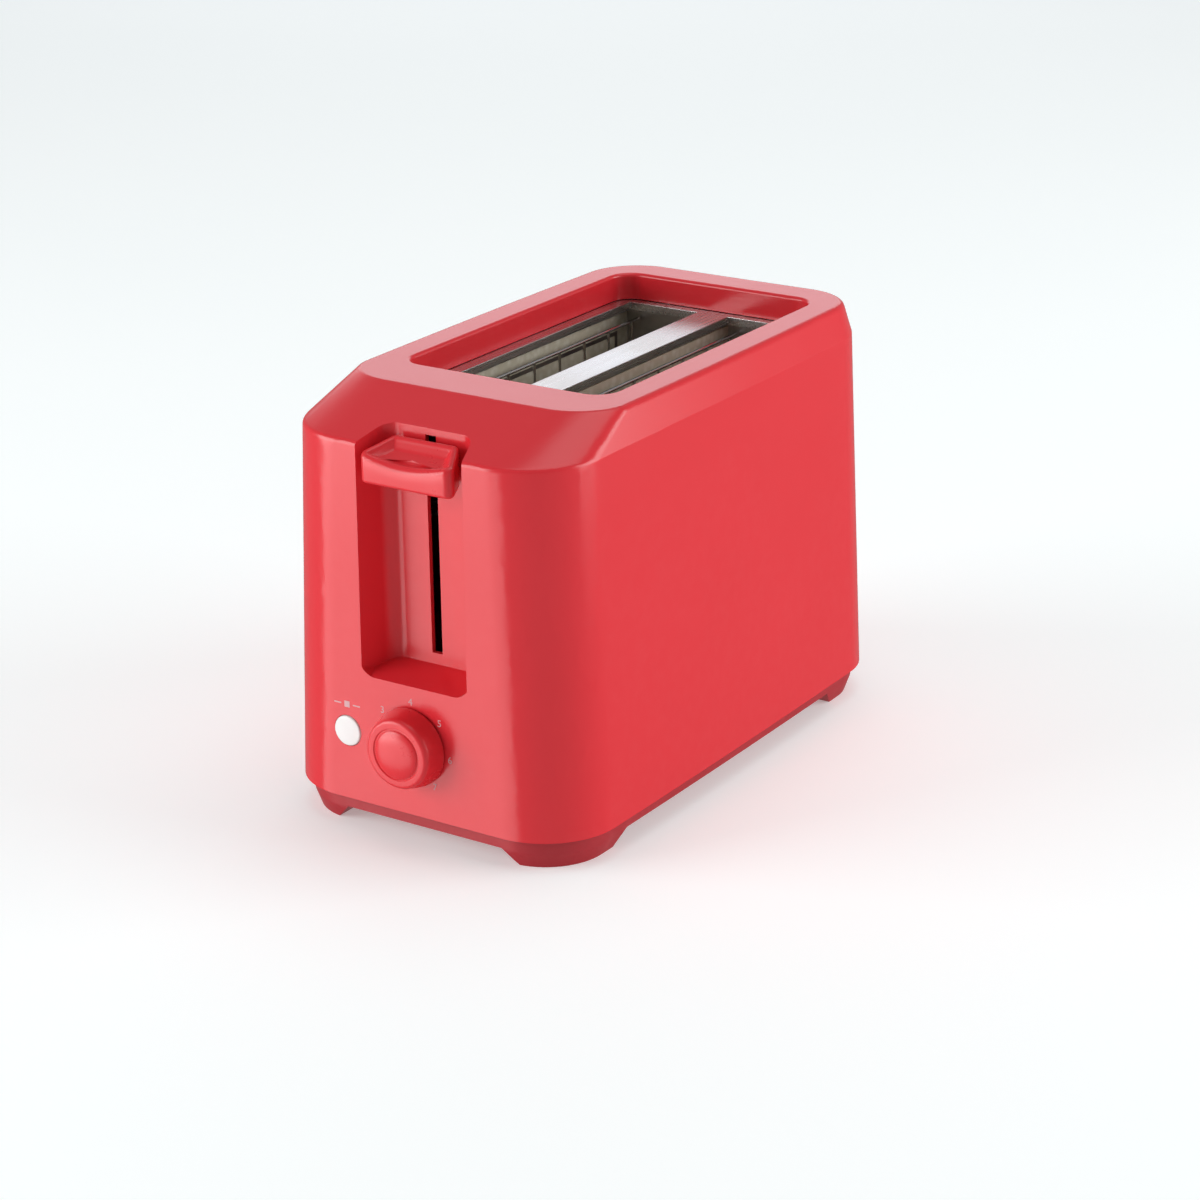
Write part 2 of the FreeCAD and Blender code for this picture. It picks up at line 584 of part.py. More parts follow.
def make_feet():
    """The four feet: they taper to the ground and reach up inside the rim to the floor."""
    within = PLINTH_INSET + RIM_WALL / 2
    lower = Part.makeLoft([base_outline(PLINTH_INSET + FOOT_TAPER, 0.0),
                           base_outline(PLINTH_INSET, PLINTH_BOTTOM_Z)], True, True)
    top_z = FLOOR_Z + FLOOR_T / 2
    upper = Part.makeLoft([base_outline(within, PLINTH_BOTTOM_Z - OVERLAP), base_outline(within, top_z)],
                          True, True)
    return at_corners(lower.fuse(upper), 0.0, FOOT_SPLAY / PLINTH_BOTTOM_Z, top_z)


def foot_hollows():
    """Space inside each foot, open to the inside of the base, with a sleeve left round each chassis screw."""
    inset = PLINTH_INSET + RIM_WALL + FOOT_HOLLOW_STEP
    top_z = FLOOR_TOP_Z + OVERLAP
    space = Part.makeLoft([base_outline(inset + FOOT_TAPER, FOOT_SKIN), base_outline(inset, top_z)], True, True)
    sleeve = SCREW_WELL_RADIUS + SCREW_WELL_WALL
    sleeves = [rod_z(x, y, sleeve, 0.0, top_z + OVERLAP) for x, y in chassis_foot_places()]
    return [corner.cut(Part.makeCompound(sleeves)) for corner in at_corners(space, FOOT_SKIN, 0.0, top_z)]


def make_base():
    """Moulded base: floor, rim, four hollow feet, tray rails and the posts that hold the circuit board."""
    lower = Part.makeLoft([base_outline(PLINTH_INSET, PLINTH_BOTTOM_Z), base_outline(PLINTH_INSET, RIM_TOP_Z)],
                          True, True)
    root_z = FLOOR_Z + FLOOR_T / 2
    rail_z = TRAY_Z + TRAY_DEPTH
    inner = PLINTH_INSET + RIM_WALL
    top_space = Part.makeLoft([base_outline(inner, FLOOR_TOP_Z), base_outline(inner, RIM_TOP_Z + OVERLAP)],
                              True, True)
    under_space = Part.makeLoft([base_outline(inner, PLINTH_BOTTOM_Z - OVERLAP), base_outline(inner, FLOOR_Z)],
                                True, True)
    body = lower.cut(top_space).cut(under_space)
    body = body.multiFuse(make_feet())
    adds = []
    rail = TRAY_HALF + TRAY_SIDE_GAP
    for sx in (-1, 1):
        x0, x1 = sorted((sx * rail, sx * (rail + RAIL_T)))
        adds.append(box(x0, x1, TRAY_FRONT_Y, REAR_PLATE_Y - RAIL_END_GAP, root_z, rail_z))
        x0, x1 = sorted((sx * (BOARD_HALF - BOARD_POST_IN), sx * (BOARD_HALF + BOARD_POST_OUT)))
        adds.append(box(x0, x1, BOARD_Y - BOARD_POST_WALL, BOARD_Y + BOARD_T + BOARD_POST_WALL, root_z,
                        BOARD_BOTTOM_Z + BOARD_POST_GRIP))
    stop_y = TRAY_FRONT_Y - TRAY_STOP_GAP
    adds.append(box(-rail, rail, stop_y - RAIL_T, stop_y, root_z, rail_z))
    body = body.multiFuse(adds)
    cuts = [box(-BOARD_HALF - BOARD_SIDE_GAP, BOARD_HALF + BOARD_SIDE_GAP, BOARD_Y - FIT,
                BOARD_Y + BOARD_T + FIT, BOARD_BOTTOM_Z, FAR)]
    cuts.append(box(-HANDLE_HALF - HANDLE_GAP, HANDLE_HALF + HANDLE_GAP,
                    REAR_Y - PLINTH_INSET - RIM_WALL - 2 * HANDLE_REACH, REAR_Y + OVERRUN, FLOOR_TOP_Z,
                    RIM_TOP_Z + OVERRUN))
    for x, y in boss_places() + chassis_foot_places():
        cuts.append(rod_z(x, y, SCREW_RADIUS + SCREW_CLEARANCE, FLOOR_Z - OVERLAP, FLOOR_TOP_Z + OVERLAP))
    for x, y in chassis_foot_places():
        cuts.append(rod_z(x, y, SCREW_WELL_RADIUS, -OVERLAP, FLOOR_Z))
    cuts += foot_hollows()
    return body.cut(Part.makeCompound(cuts)).removeSplitter()


def tab_heights():
    """Middles of the two tabs at each end of a heater board."""
    return (HEATER_BOTTOM_Z + TAB_LOW, GUIDE_TOP_Z - TAB_HIGH)


def heater_xs():
    """Middle planes of the four heater boards with the side that faces a bread slot."""
    return {"outer_left": (-OUTER_HEATER_X, 1), "inner_left": (-CENTRE_HEATER_X, -1),
            "inner_right": (CENTRE_HEATER_X, 1), "outer_right": (OUTER_HEATER_X, -1)}


def guard_xs():
    """Hinge lines of the four bread guards."""
    return {"outer_left": -BREAD_SLOT_CENTRE - GUIDE_OFFSET, "inner_left": -BREAD_SLOT_CENTRE + GUIDE_OFFSET,
            "inner_right": BREAD_SLOT_CENTRE - GUIDE_OFFSET, "outer_right": BREAD_SLOT_CENTRE + GUIDE_OFFSET}


def end_plate(y0, outward):
    """Sheet end plate with feet, rest slots, guard pivot holes and holes for the heater boards' tabs."""
    y1 = y0 + outward * SHEET
    lo, hi = sorted((y0, y1))
    parts = [box(-CHASSIS_HALF, CHASSIS_HALF, lo, hi, CHASSIS_BOTTOM_Z, PLATE_TOP_Z)]
    toe_lo, toe_hi = sorted((y0, y1 + outward * FOOT_FLANGE))
    for sx in (-1, 1):
        x0 = sx * CHASSIS_POST_X - FOOT_TAB / 2
        parts.append(box(x0, x0 + FOOT_TAB, lo, hi, FLOOR_TOP_Z, CHASSIS_BOTTOM_Z + OVERLAP))
        parts.append(box(x0, x0 + FOOT_TAB, toe_lo, toe_hi, FLOOR_TOP_Z, FLOOR_TOP_Z + SHEET))
    half = REST_T / 2 + REST_SLOT_GAP
    cuts = []
    for sx in (-1, 1):
        x = sx * BREAD_SLOT_CENTRE
        cuts.append(box(x - half, x + half, lo - OVERLAP, hi + OVERLAP,
                        REST_BOTTOM_Z - TRAVEL - REST_SLOT_END_GAP, REST_TOP_Z + REST_SLOT_END_GAP))
    for x in guard_xs().values():
        cuts.append(rod_y(x, GUIDE_BOTTOM_Z, GUIDE_BAR_RADIUS + PIVOT_CLEARANCE, lo - OVERLAP, hi + OVERLAP))
    tab_half = TAB_HALF + 2 * FIT
    for x, _ in heater_xs().values():
        for z in tab_heights():
            cuts.append(box(x - MICA_T / 2 - FIT, x + MICA_T / 2 + FIT, lo - OVERLAP, hi + OVERLAP,
                            z - tab_half, z + tab_half))
    for x, y in chassis_foot_places():
        cuts.append(rod_z(x, y, SCREW_RADIUS, FLOOR_TOP_Z - OVERLAP, FLOOR_TOP_Z + SHEET + OVERLAP))
    return parts, cuts


def make_end_plates():
    """Front plate, with the two bent tabs that carry the guide rod, and rear plate."""
    front, front_cuts = end_plate(FRONT_PLATE_Y, -1)
    tab_y = ROD_Y - ROD_RADIUS - ROD_TAB_MARGIN
    for z in (ROD_BOTTOM_Z, UPPER_BRACKET_Z):
        front.append(box(ROD_X - ROD_TAB_HALF, ROD_X + ROD_TAB_HALF, tab_y, FRONT_PLATE_Y - SHEET / 2, z,
                         z + ROD_TAB_T))
    front_cuts.append(rod_z(ROD_X, ROD_Y, ROD_RADIUS, ROD_BOTTOM_Z - OVERRUN, ROD_TOP_Z + OVERRUN))
    rear, rear_cuts = end_plate(REAR_PLATE_Y, 1)
    save("front_end_plate", joined(front).cut(Part.makeCompound(front_cuts)))
    save("rear_end_plate", joined(rear).cut(Part.makeCompound(rear_cuts)))


def make_top_plate():
    """Bright plate below the deck opening, with the two bread slots and a stiffening bead round each."""
    plate = slab(OPENING_WIDTH / 2 + TOP_PLATE_MARGIN, OPENING_FRONT_Y - TOP_PLATE_MARGIN,
                 OPENING_REAR_Y + TOP_PLATE_MARGIN, OPENING_RADIUS, PLATE_TOP_Z, PLATE_TOP_Z + SHEET)
    y0 = OPENING_FRONT_Y + BREAD_SLOT_MARGIN
    y1 = OPENING_REAR_Y - BREAD_SLOT_MARGIN
    lips = []
    cuts = []
    for sx in (-1, 1):
        x = sx * BREAD_SLOT_CENTRE
        half = BREAD_SLOT_WIDTH / 2
        lips.append(box(x - half - SHEET, x + half + SHEET, y0 - SHEET, y1 + SHEET,
                        PLATE_TOP_Z - BREAD_SLOT_LIP, PLATE_TOP_Z))
        cuts.append(box(x - half, x + half, y0, y1, PLATE_TOP_Z - OVERRUN, PLATE_TOP_Z + OVERRUN))
    return joined([plate] + lips).cut(Part.makeCompound(cuts)).removeSplitter()


def make_reflectors():
    """Side sheets that send the heat back, each with two pressed beads."""
    for name, sx in (("reflector_left", -1), ("reflector_right", 1)):
        x0, x1 = sorted((sx * CHASSIS_HALF, sx * (CHASSIS_HALF - REFLECTOR_T)))
        sheet = box(x0, x1, FRONT_PLATE_Y, REAR_PLATE_Y, CHASSIS_BOTTOM_Z, PLATE_TOP_Z)
        beads = []
        outer = sx * CHASSIS_HALF
        for z in tab_heights():
            beads.append(rod_y(outer, z, BEAD_RADIUS, FRONT_PLATE_Y + BEAD_END_GAP,
                               REAR_PLATE_Y - BEAD_END_GAP))
        keep = box(min(outer, sx * FAR), max(outer, sx * FAR), -FAR, FAR, 0, FAR)
        beads = [bead.common(keep) for bead in beads]
        save(name, joined([sheet] + beads))


def make_heaters():
    """Four mica boards, each with a flat ribbon that runs to and fro on the face towards the bread."""
    for name, (x, side) in heater_xs().items():
        top = PLATE_TOP_Z - HEATER_TOP_GAP
        parts = [box(x - MICA_T / 2, x + MICA_T / 2, FRONT_PLATE_Y, REAR_PLATE_Y, HEATER_BOTTOM_Z, top)]
        for z in tab_heights():
            parts.append(box(x - MICA_T / 2, x + MICA_T / 2, FRONT_PLATE_Y - SHEET - TAB_PROUD,
                             REAR_PLATE_Y + SHEET + TAB_PROUD, z - TAB_HALF, z + TAB_HALF))
        save("mica_board_" + name, joined(parts))
        face = x + side * MICA_T / 2
        x0, x1 = sorted((face, face + side * RIBBON_T))
        y0 = FRONT_PLATE_Y + RIBBON_MARGIN
        y1 = REAR_PLATE_Y - RIBBON_MARGIN
        low = HEATER_BOTTOM_Z + RIBBON_MARGIN
        pitch = (top - RIBBON_MARGIN - low) / (RIBBON_RUNS - 1)
        strip = []
        for run in range(RIBBON_RUNS):
            z = low + run * pitch
            strip.append(box(x0, x1, y0, y1, z - RIBBON_WIDTH / 2, z + RIBBON_WIDTH / 2))
            if run < RIBBON_RUNS - 1:
                end = y1 if run % 2 == 0 else y0 + RIBBON_WIDTH
                strip.append(box(x0, x1, end - RIBBON_WIDTH, end, z, z + pitch))
        save("heater_ribbon_" + name, joined(strip))


def make_guards():
    """Four wire guards: hinge bar with pivots through the end plates, uprights and a top bar."""
    y0 = FRONT_PLATE_Y + GUIDE_END_GAP
    y1 = REAR_PLATE_Y - GUIDE_END_GAP
    pitch = (y1 - y0 - 2 * GUIDE_FIRST_WIRE) / (GUIDE_WIRES - 1)
    for name, x in guard_xs().items():
        parts = [rod_y(x, GUIDE_BOTTOM_Z, GUIDE_BAR_RADIUS, FRONT_PLATE_Y - SHEET - GUIDE_OVERHANG,
                       REAR_PLATE_Y + SHEET + GUIDE_OVERHANG)]
        parts.append(rod_y(x, GUIDE_TOP_Z, GUIDE_BAR_RADIUS, y0, y1))
        for wire in range(GUIDE_WIRES):
            y = y0 + GUIDE_FIRST_WIRE + wire * pitch
            parts.append(rod_z(x, y, GUIDE_WIRE_RADIUS, GUIDE_BOTTOM_Z, GUIDE_TOP_Z))
        save("bread_guard_" + name, joined(parts))


def lever_form(inset, lift):
    """Thumb tray's outer form, or the same drawn in and raised."""
    front = LEVER_FRONT_Y + inset
    back = LEVER_BACK_Y - inset
    wide = LEVER_HALF_FRONT - inset
    nose = front + LEVER_NOSE
    plan = [V(-wide + LEVER_NOSE, front, 0), V(wide - LEVER_NOSE, front, 0), V(wide, nose, 0),
            V(LEVER_HALF_BACK - inset, back, 0), V(-LEVER_HALF_BACK + inset, back, 0), V(-wide, nose, 0)]
    low = LEVER_BOTTOM_Z + lift
    top = LEVER_BOTTOM_Z + LEVER_FRONT_HEIGHT + lift
    side = [V(-FAR / 2, front, low), V(-FAR / 2, back, low), V(-FAR / 2, back, top + LEVER_RISE),
            V(-FAR / 2, front, top)]
    return prism(plan, V(0, 0, FAR)).common(prism(side, V(FAR, 0, 0)))


def bread_rest(x):
    """Bar that the bread stands on, with dished prongs across it."""
    spine_z = REST_TOP_Z - PRONG_DIP
    root_z = REST_BOTTOM_Z + PRONG_DIP
    rest = [box(x - REST_T / 2, x + REST_T / 2, BRACKET_BACK_Y, REAR_PLATE_Y + SHEET + REST_TAIL, REST_BOTTOM_Z,
                spine_z)]
    y0 = FRONT_PLATE_Y + REST_FIRST_PRONG
    pitch = (REAR_PLATE_Y - REST_FIRST_PRONG - y0) / (REST_PRONGS - 1)
    half = [(REST_PRONG_HALF, REST_TOP_Z), (REST_PRONG_HALF, REST_TOP_Z - PRONG_TIP), (PRONG_ROOT_HALF, root_z)]
    left = [(-dx, z) for dx, z in half]
    ring = left + half[::-1] + [(PRONG_DIP_HALF, spine_z), (-PRONG_DIP_HALF, spine_z)]
    for prong in range(REST_PRONGS):
        y = y0 + prong * pitch - REST_T / 2
        rest.append(prism([V(x + dx, y, z) for dx, z in ring], V(0, REST_T, 0)))
    return joined(rest)


def make_carriage():
    """Everything that goes down with the lever."""
    arm_end = LEVER_BACK_Y - ARM_ENGAGEMENT
    arm = box(-ARM_THICKNESS / 2, ARM_THICKNESS / 2, arm_end, BRACKET_BACK_Y, ARM_Z - ARM_HEIGHT / 2,
              ARM_Z + ARM_HEIGHT / 2)
    lever = lever_form(0.0, 0.0)
    lever = lever.makeFillet(SMALL_ROUND, upright_edges(lever))
    lever = lever.cut(lever_form(LEVER_RIM, LEVER_FRONT_HEIGHT - LEVER_DISH)).cut(arm)
    save("lever", lever)

    plate_y = (BRACKET_FRONT_Y, BRACKET_BACK_Y)
    shelf_z = KEEPER_Z + KEEPER_T
    shelf_x = (MAGNET_X - SHELF_HALF, MAGNET_X + SHELF_HALF)
    keeper_y = (MAGNET_Y - KEEPER_MARGIN, MAGNET_Y + MAGNET_DEPTH + KEEPER_MARGIN)
    bracket = [arm]
    bracket.append(box(-BRACKET_HALF, BRACKET_HALF, *plate_y, BAR_BOTTOM_Z, BAR_BOTTOM_Z + BRACKET_BAR))
    bracket.append(box(RISER_LEFT, RISER_RIGHT, *plate_y, BAR_BOTTOM_Z, RISER_TOP_Z))
    bracket.append(box(-ARM_PLATE_LEFT, RISER_RIGHT, *plate_y, ARM_Z - ARM_HEIGHT / 2, RISER_TOP_Z))
    bracket.append(box(*shelf_x, *plate_y, BAR_BOTTOM_Z, shelf_z + BRACKET_T))
    bracket.append(box(*shelf_x, keeper_y[0], BRACKET_BACK_Y, shelf_z, shelf_z + BRACKET_T))
    save("carriage_bracket", joined(bracket))

    keeper = box(MAGNET_X - KEEPER_HALF, MAGNET_X + KEEPER_HALF, *keeper_y, KEEPER_Z, shelf_z)
    save("magnet_keeper", keeper.makeChamfer(KEEPER_CHAMFER, keeper.Edges))

    bush_half = BUSH_HALF - BUSH_INSET
    bush = box(ROD_X - bush_half, ROD_X + bush_half, ROD_Y - BUSH_HALF, BRACKET_FRONT_Y, BUSH_BOTTOM_Z,
               RISER_TOP_Z)
    bush = bush.makeFillet(SMALL_ROUND, upright_edges(bush))
    save("carriage_bush", bush.cut(rod_z(ROD_X, ROD_Y, ROD_RADIUS + ROD_CLEARANCE, 0, FAR)))

    pusher = box(CONTACT_X - PUSHER_HALF, CONTACT_X + PUSHER_HALF, BOARD_Y + BOARD_T + PUSHER_GAP,
                 BRACKET_FRONT_Y, BAR_BOTTOM_Z, BAR_BOTTOM_Z + BRACKET_BAR)
    free = [e for e in upright_edges(pusher) if e.BoundBox.Center.y < BRACKET_FRONT_Y - OVERLAP]
    save("contact_pusher", pusher.makeFillet(SMALL_ROUND, free))

    for name, sx in (("bread_rest_left", -1), ("bread_rest_right", 1)):
        save(name, bread_rest(sx * BREAD_SLOT_CENTRE))


def make_rod_and_spring():
    """Guide rod, its stop pad and the return spring that stands round it."""
    save("guide_rod", rod_z(ROD_X, ROD_Y, ROD_RADIUS, ROD_BOTTOM_Z, ROD_TOP_Z))
    pad = rod_z(ROD_X, ROD_Y, BUSH_HALF - PAD_INSET, UPPER_BRACKET_Z - STOP_PAD_T, UPPER_BRACKET_Z)
    save("stop_pad", pad.cut(rod_z(ROD_X, ROD_Y, ROD_RADIUS, 0, FAR)))
    low = SPRING_SEAT_Z + SPRING_WIRE_RADIUS
    height = BUSH_BOTTOM_Z - SPRING_WIRE_RADIUS - low
    helix = Part.makeHelix(height / SPRING_TURNS, height, SPRING_RADIUS)
    profile = Part.Wire(Part.makeCircle(SPRING_WIRE_RADIUS, V(SPRING_RADIUS, 0, 0), V(0, 1, 0)))
    spring = Part.Wire(helix.Edges).makePipeShell([profile], True, True)
    spring.translate(V(ROD_X, ROD_Y, low))
    save("return_spring", spring)


def make_controls():
    """Circuit board, electromagnet, contacts, browning control and stop button."""
    back = BOARD_Y + BOARD_T
    save("circuit_board", box(-BOARD_HALF, BOARD_HALF, BOARD_Y, back, BOARD_BOTTOM_Z, BOARD_TOP_Z))

    y0 = MAGNET_Y
    y1 = MAGNET_Y + MAGNET_DEPTH
    low = MAGNET_TOP_Z - MAGNET_HEIGHT
    core = [box(MAGNET_X - KEEPER_HALF, MAGNET_X + KEEPER_HALF, y0, y1, low, low + MAGNET_LEG)]
    for x in (-KEEPER_HALF + MAGNET_LEG / 2, 0.0, KEEPER_HALF - MAGNET_LEG / 2):
        middle = MAGNET_X + x
        core.append(box(middle - MAGNET_LEG / 2, middle + MAGNET_LEG / 2, y0, y1, low, MAGNET_TOP_Z))
    core.append(box(MAGNET_X - MAGNET_NECK, MAGNET_X + MAGNET_NECK, back, y0, low, low + MAGNET_LEG))
    save("magnet_core", joined(core))
    coil = slab(COIL_HALF, y0 - COIL_MARGIN, y1 + COIL_MARGIN, COIL_ROUND, low + MAGNET_LEG + COIL_LIFT,
                MAGNET_TOP_Z - COIL_TOP_GAP)
    coil.translate(V(MAGNET_X, 0, 0))
    hole = box(MAGNET_X - MAGNET_LEG / 2, MAGNET_X + MAGNET_LEG / 2, y0, y1, 0, FAR)
    save("magnet_coil", coil.cut(hole))

    blade_top = BAR_BOTTOM_Z - TRAVEL - BLADE_TOP_GAP
    blade_y = back + BLADE_STANDOFF
    blade_z = BOARD_BOTTOM_Z + BLADE_LIFT
    blades = []
    for dx in (-BLADE_SPACING / 2, BLADE_SPACING / 2):
        x = (CONTACT_X + dx - BLADE_HALF, CONTACT_X + dx + BLADE_HALF)
        upright = box(*x, blade_y, blade_y + BLADE_T, blade_z, blade_top)
        ledge = box(*x, back, blade_y + BLADE_T, blade_z, blade_z + BLADE_T)
        blades.append(joined([upright, ledge]))
    save("contact_blades", Part.makeCompound(blades))

    pot_front = BOARD_Y - POT_DEPTH
    pot = [rod_y(DIAL_X, DIAL_Z, POT_RADIUS, pot_front, BOARD_Y),
           rod_y(DIAL_X, DIAL_Z, POT_NECK_RADIUS, pot_front - POT_NECK, pot_front)]
    bore = rod_y(DIAL_X, DIAL_Z, SHAFT_RADIUS + FIT, pot_front - POT_NECK - OVERLAP, BOARD_Y - POT_BORE_END)
    save("browning_control", joined(pot).cut(bore))
    dial_back = front_y(DIAL_Z - DIAL_RADIUS) - DIAL_GAP
    dial_front = FRONT_Y - DIAL_PROUD
    shaft_front = dial_front + SHAFT_ENGAGEMENT
    save("dial_shaft", rod_y(DIAL_X, DIAL_Z, SHAFT_RADIUS, shaft_front, BOARD_Y - SHAFT_END))
    rim_y = dial_front + DIAL_DOME_RISE
    half = [(0, dial_front), (DIAL_DOME_RADIUS * DIAL_DOME_SHARE, dial_front + DIAL_DOME_SHOULDER),
            (DIAL_DOME_RADIUS, rim_y), (DIAL_FACE_RADIUS - DIAL_DOME_RISE, rim_y),
            (DIAL_FACE_RADIUS, rim_y + DIAL_FACE_BEVEL), (DIAL_RADIUS, dial_back), (0, dial_back)]
    ring = [V(DIAL_X + radius, y, DIAL_Z) for radius, y in half]
    profile = Part.Face(Part.makePolygon(ring + [ring[0]]))
    dial = profile.revolve(V(DIAL_X, 0, DIAL_Z), V(0, 1, 0), 360)
    save("browning_dial", dial.cut(rod_y(DIAL_X, DIAL_Z, SHAFT_RADIUS, shaft_front, dial_back + OVERLAP)))

    switch_front = BOARD_Y - SWITCH_DEPTH
    switch = box(BUTTON_X - SWITCH_HALF, BUTTON_X + SWITCH_HALF, switch_front, BOARD_Y, BUTTON_Z - SWITCH_HALF,
                 BUTTON_Z + SWITCH_HALF)
    save("stop_switch", switch.makeChamfer(SWITCH_CHAMFER, switch.Edges))
    face_y = front_y(BUTTON_Z) - BUTTON_PROUD
    flange_y = front_y(BUTTON_Z + BUTTON_RADIUS + BUTTON_FLANGE) + WALL + DIAL_GAP
    stem_y = flange_y + BUTTON_FLANGE_T
    button = [rod_y(BUTTON_X, BUTTON_Z, BUTTON_RADIUS, face_y, flange_y)]
    button.append(rod_y(BUTTON_X, BUTTON_Z, BUTTON_RADIUS + BUTTON_FLANGE, flange_y, stem_y))
    button.append(rod_y(BUTTON_X, BUTTON_Z, BUTTON_STEM, stem_y, switch_front - BUTTON_TRAVEL - DIAL_GAP))
    button = joined(button)
    rim = [e for e in button.Edges if abs(e.BoundBox.YMax - face_y) < NEAR and e.Closed]
    save("stop_button", button.makeFillet(BUTTON_ROUND, rim))


def make_terminals():
    """Ceramic blocks and brass tabs on the front plate, where the heater ribbons are joined to the leads."""
    blocks = []
    tabs = []
    front = FRONT_PLATE_Y - SHEET
    face = front - TERMINAL_DEPTH
    for sx in (-1, 1):
        x = sx * (CHASSIS_HALF - TERMINAL_INSET)
        block = box(x - TERMINAL_HALF, x + TERMINAL_HALF, face, front, TERMINAL_Z - TERMINAL_HALF,
                    TERMINAL_Z + TERMINAL_HALF)
        blocks.append(block.makeFillet(TERMINAL_ROUND, block.Edges))
        tabs.append(box(x - BLADE_TAB_HALF, x + BLADE_TAB_HALF, face - SHEET, face,
                        TERMINAL_Z - BLADE_TAB_BELOW, TERMINAL_Z + BLADE_TAB_ABOVE))
    save("terminal_blocks", Part.makeCompound(blocks))
    save("terminal_tabs", Part.makeCompound(tabs))


def make_leads():
    """Two insulated leads from the cord gland, along the right side, to the circuit board."""
    start_y = rear_y(GLAND_Z) - GLAND_INNER - LEAD_START_GAP
    turn_y = REAR_PLATE_Y + LEAD_TURN
    board_x = BOARD_HALF - LEAD_BOARD_INSET
    front_turn_y = BOARD_Y + BOARD_T + LEAD_FRONT_TURN
    leads = []
    for dz in (-LEAD_PITCH / 2, LEAD_PITCH / 2):
        z = GLAND_Z + dz
        route = [V(GLAND_X, start_y, z), V(GLAND_X, turn_y, z), V(LEAD_X, turn_y, z),
                 V(LEAD_X, front_turn_y, z), V(board_x, front_turn_y, z), V(board_x, BOARD_Y + BOARD_T, z)]
        edges = []
        here = route[0]
        for before, corner, after in zip(route, route[1:], route[2:]):
            into = (corner - before).normalize()
            out = (after - corner).normalize()
            bend = min(LEAD_BEND, 0.45 * (corner - before).Length, 0.45 * (after - corner).Length)
            a = corner - into * bend
            b = corner + out * bend
            middle = corner + (out - into) * bend * (1 - math.sqrt(0.5))
            edges.append(Part.makeLine(here, a))
            edges.append(Part.Arc(a, middle, b).toShape())
            here = b
        edges.append(Part.makeLine(here, route[-1]))
        profile = Part.Wire(Part.makeCircle(LEAD_RADIUS, route[0], V(0, -1, 0)))
        leads.append(Part.Wire(edges).makePipeShell([profile], True, False))
    save("internal_leads", Part.makeCompound(leads))


def make_cord_entry():
    """Gland through the rear wall, bored for the cord, and the ring that holds it inside."""
    wall_y = rear_y(GLAND_Z + GLAND_FLANGE)
    outside = rear_y(GLAND_Z - GLAND_FLANGE)
    inner = wall_y - GLAND_INNER
    tube = rod_y(GLAND_X, GLAND_Z, GLAND_RADIUS, inner, outside)
    flange = rod_y(GLAND_X, GLAND_Z, GLAND_FLANGE, outside, outside + GLAND_FLANGE_T)
    rim = [e for e in flange.Edges if abs(e.BoundBox.YMin - outside - GLAND_FLANGE_T) < NEAR]
    gland = joined([tube, flange.makeFillet(GLAND_ROUND, rim)])
    gland = gland.cut(rod_y(GLAND_X, GLAND_Z, GLAND_BORE, inner - OVERLAP, outside + OVERRUN))
    save("cord_gland", gland)
    ring_y = wall_y - WALL - RING_GAP
    ring = rod_y(GLAND_X, GLAND_Z, GLAND_FLANGE + RING_MARGIN, ring_y - RING_T, ring_y)
    save("gland_ring", ring.cut(rod_y(GLAND_X, GLAND_Z, GLAND_RADIUS, inner - OVERLAP, outside)))


def make_tray():
    """Crumb tray with folded edges, and the moulded handle on its rear end."""
    handle_y = REAR_Y - PLINTH_INSET - RIM_WALL - HANDLE_REACH
    handle_end = REAR_Y + TRAY_PROUD
    pan = box(-TRAY_HALF, TRAY_HALF, TRAY_FRONT_Y, handle_y, TRAY_Z, TRAY_Z + TRAY_DEPTH)
    inside = box(-TRAY_HALF + SHEET, TRAY_HALF - SHEET, TRAY_FRONT_Y + SHEET, handle_y - SHEET, TRAY_Z + SHEET,
                 FAR)
    save("crumb_tray", pan.cut(inside))
    low = FLOOR_TOP_Z + HANDLE_LIFT
    grip = box(-HANDLE_HALF, HANDLE_HALF, handle_y, handle_end, low, HANDLE_TOP_Z)
    rear = [e for e in grip.Edges if abs(e.BoundBox.YMin - handle_end) < NEAR]
    grip = grip.makeFillet(HANDLE_ROUND, rear)
    inner_half = HANDLE_HALF - HANDLE_WALL
    grip = grip.cut(box(-inner_half, inner_half, handle_y, handle_end - HANDLE_WALL,
                        low + SCOOP_HEIGHT + HANDLE_WALL, HANDLE_TOP_Z - HANDLE_WALL))
    scoop_half = HANDLE_HALF * SCOOP_SHARE
    scoop = box(-scoop_half, scoop_half, REAR_Y - SCOOP_BACK, REAR_Y + OVERRUN, low - OVERLAP,
                low + SCOOP_HEIGHT)
    save("tray_handle", grip.cut(scoop))


def main():
    """Builds and writes every sub-part."""
    os.makedirs("parts", exist_ok=True)
    save("housing", make_housing())
    save("base", make_base())
    base_screws = [screw(x, y, FLOOR_Z, BASE_SCREW_LENGTH) for x, y in boss_places()]
    save("base_screws", Part.makeCompound(base_screws))
    chassis_screws = [screw(x, y, FLOOR_Z, CHASSIS_SCREW_LENGTH) for x, y in chassis_foot_places()]
    save("chassis_screws", Part.makeCompound(chassis_screws))
    make_end_plates()
    save("slot_plate", make_top_plate())
    make_reflectors()
    make_heaters()
    make_guards()
    make_carriage()
    make_rod_and_spring()
    make_controls()
    make_terminals()
    make_leads()
    make_cord_entry()
    make_tray()


if __name__ == "__main__":
    main()
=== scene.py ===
"""Looks of the pop-up toaster: finishes, detailed pieces, stage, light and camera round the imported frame.

Metres, in the frame's own axes: +Z up, -Y towards the lever end, feet on z = 0.
"""
import json
import logging
import math
from dataclasses import dataclass, field
from enum import Enum
from typing import Callable, Iterable, Sequence

import bmesh
import bpy
from mathutils import Matrix, Vector
from mathutils.bvhtree import BVHTree


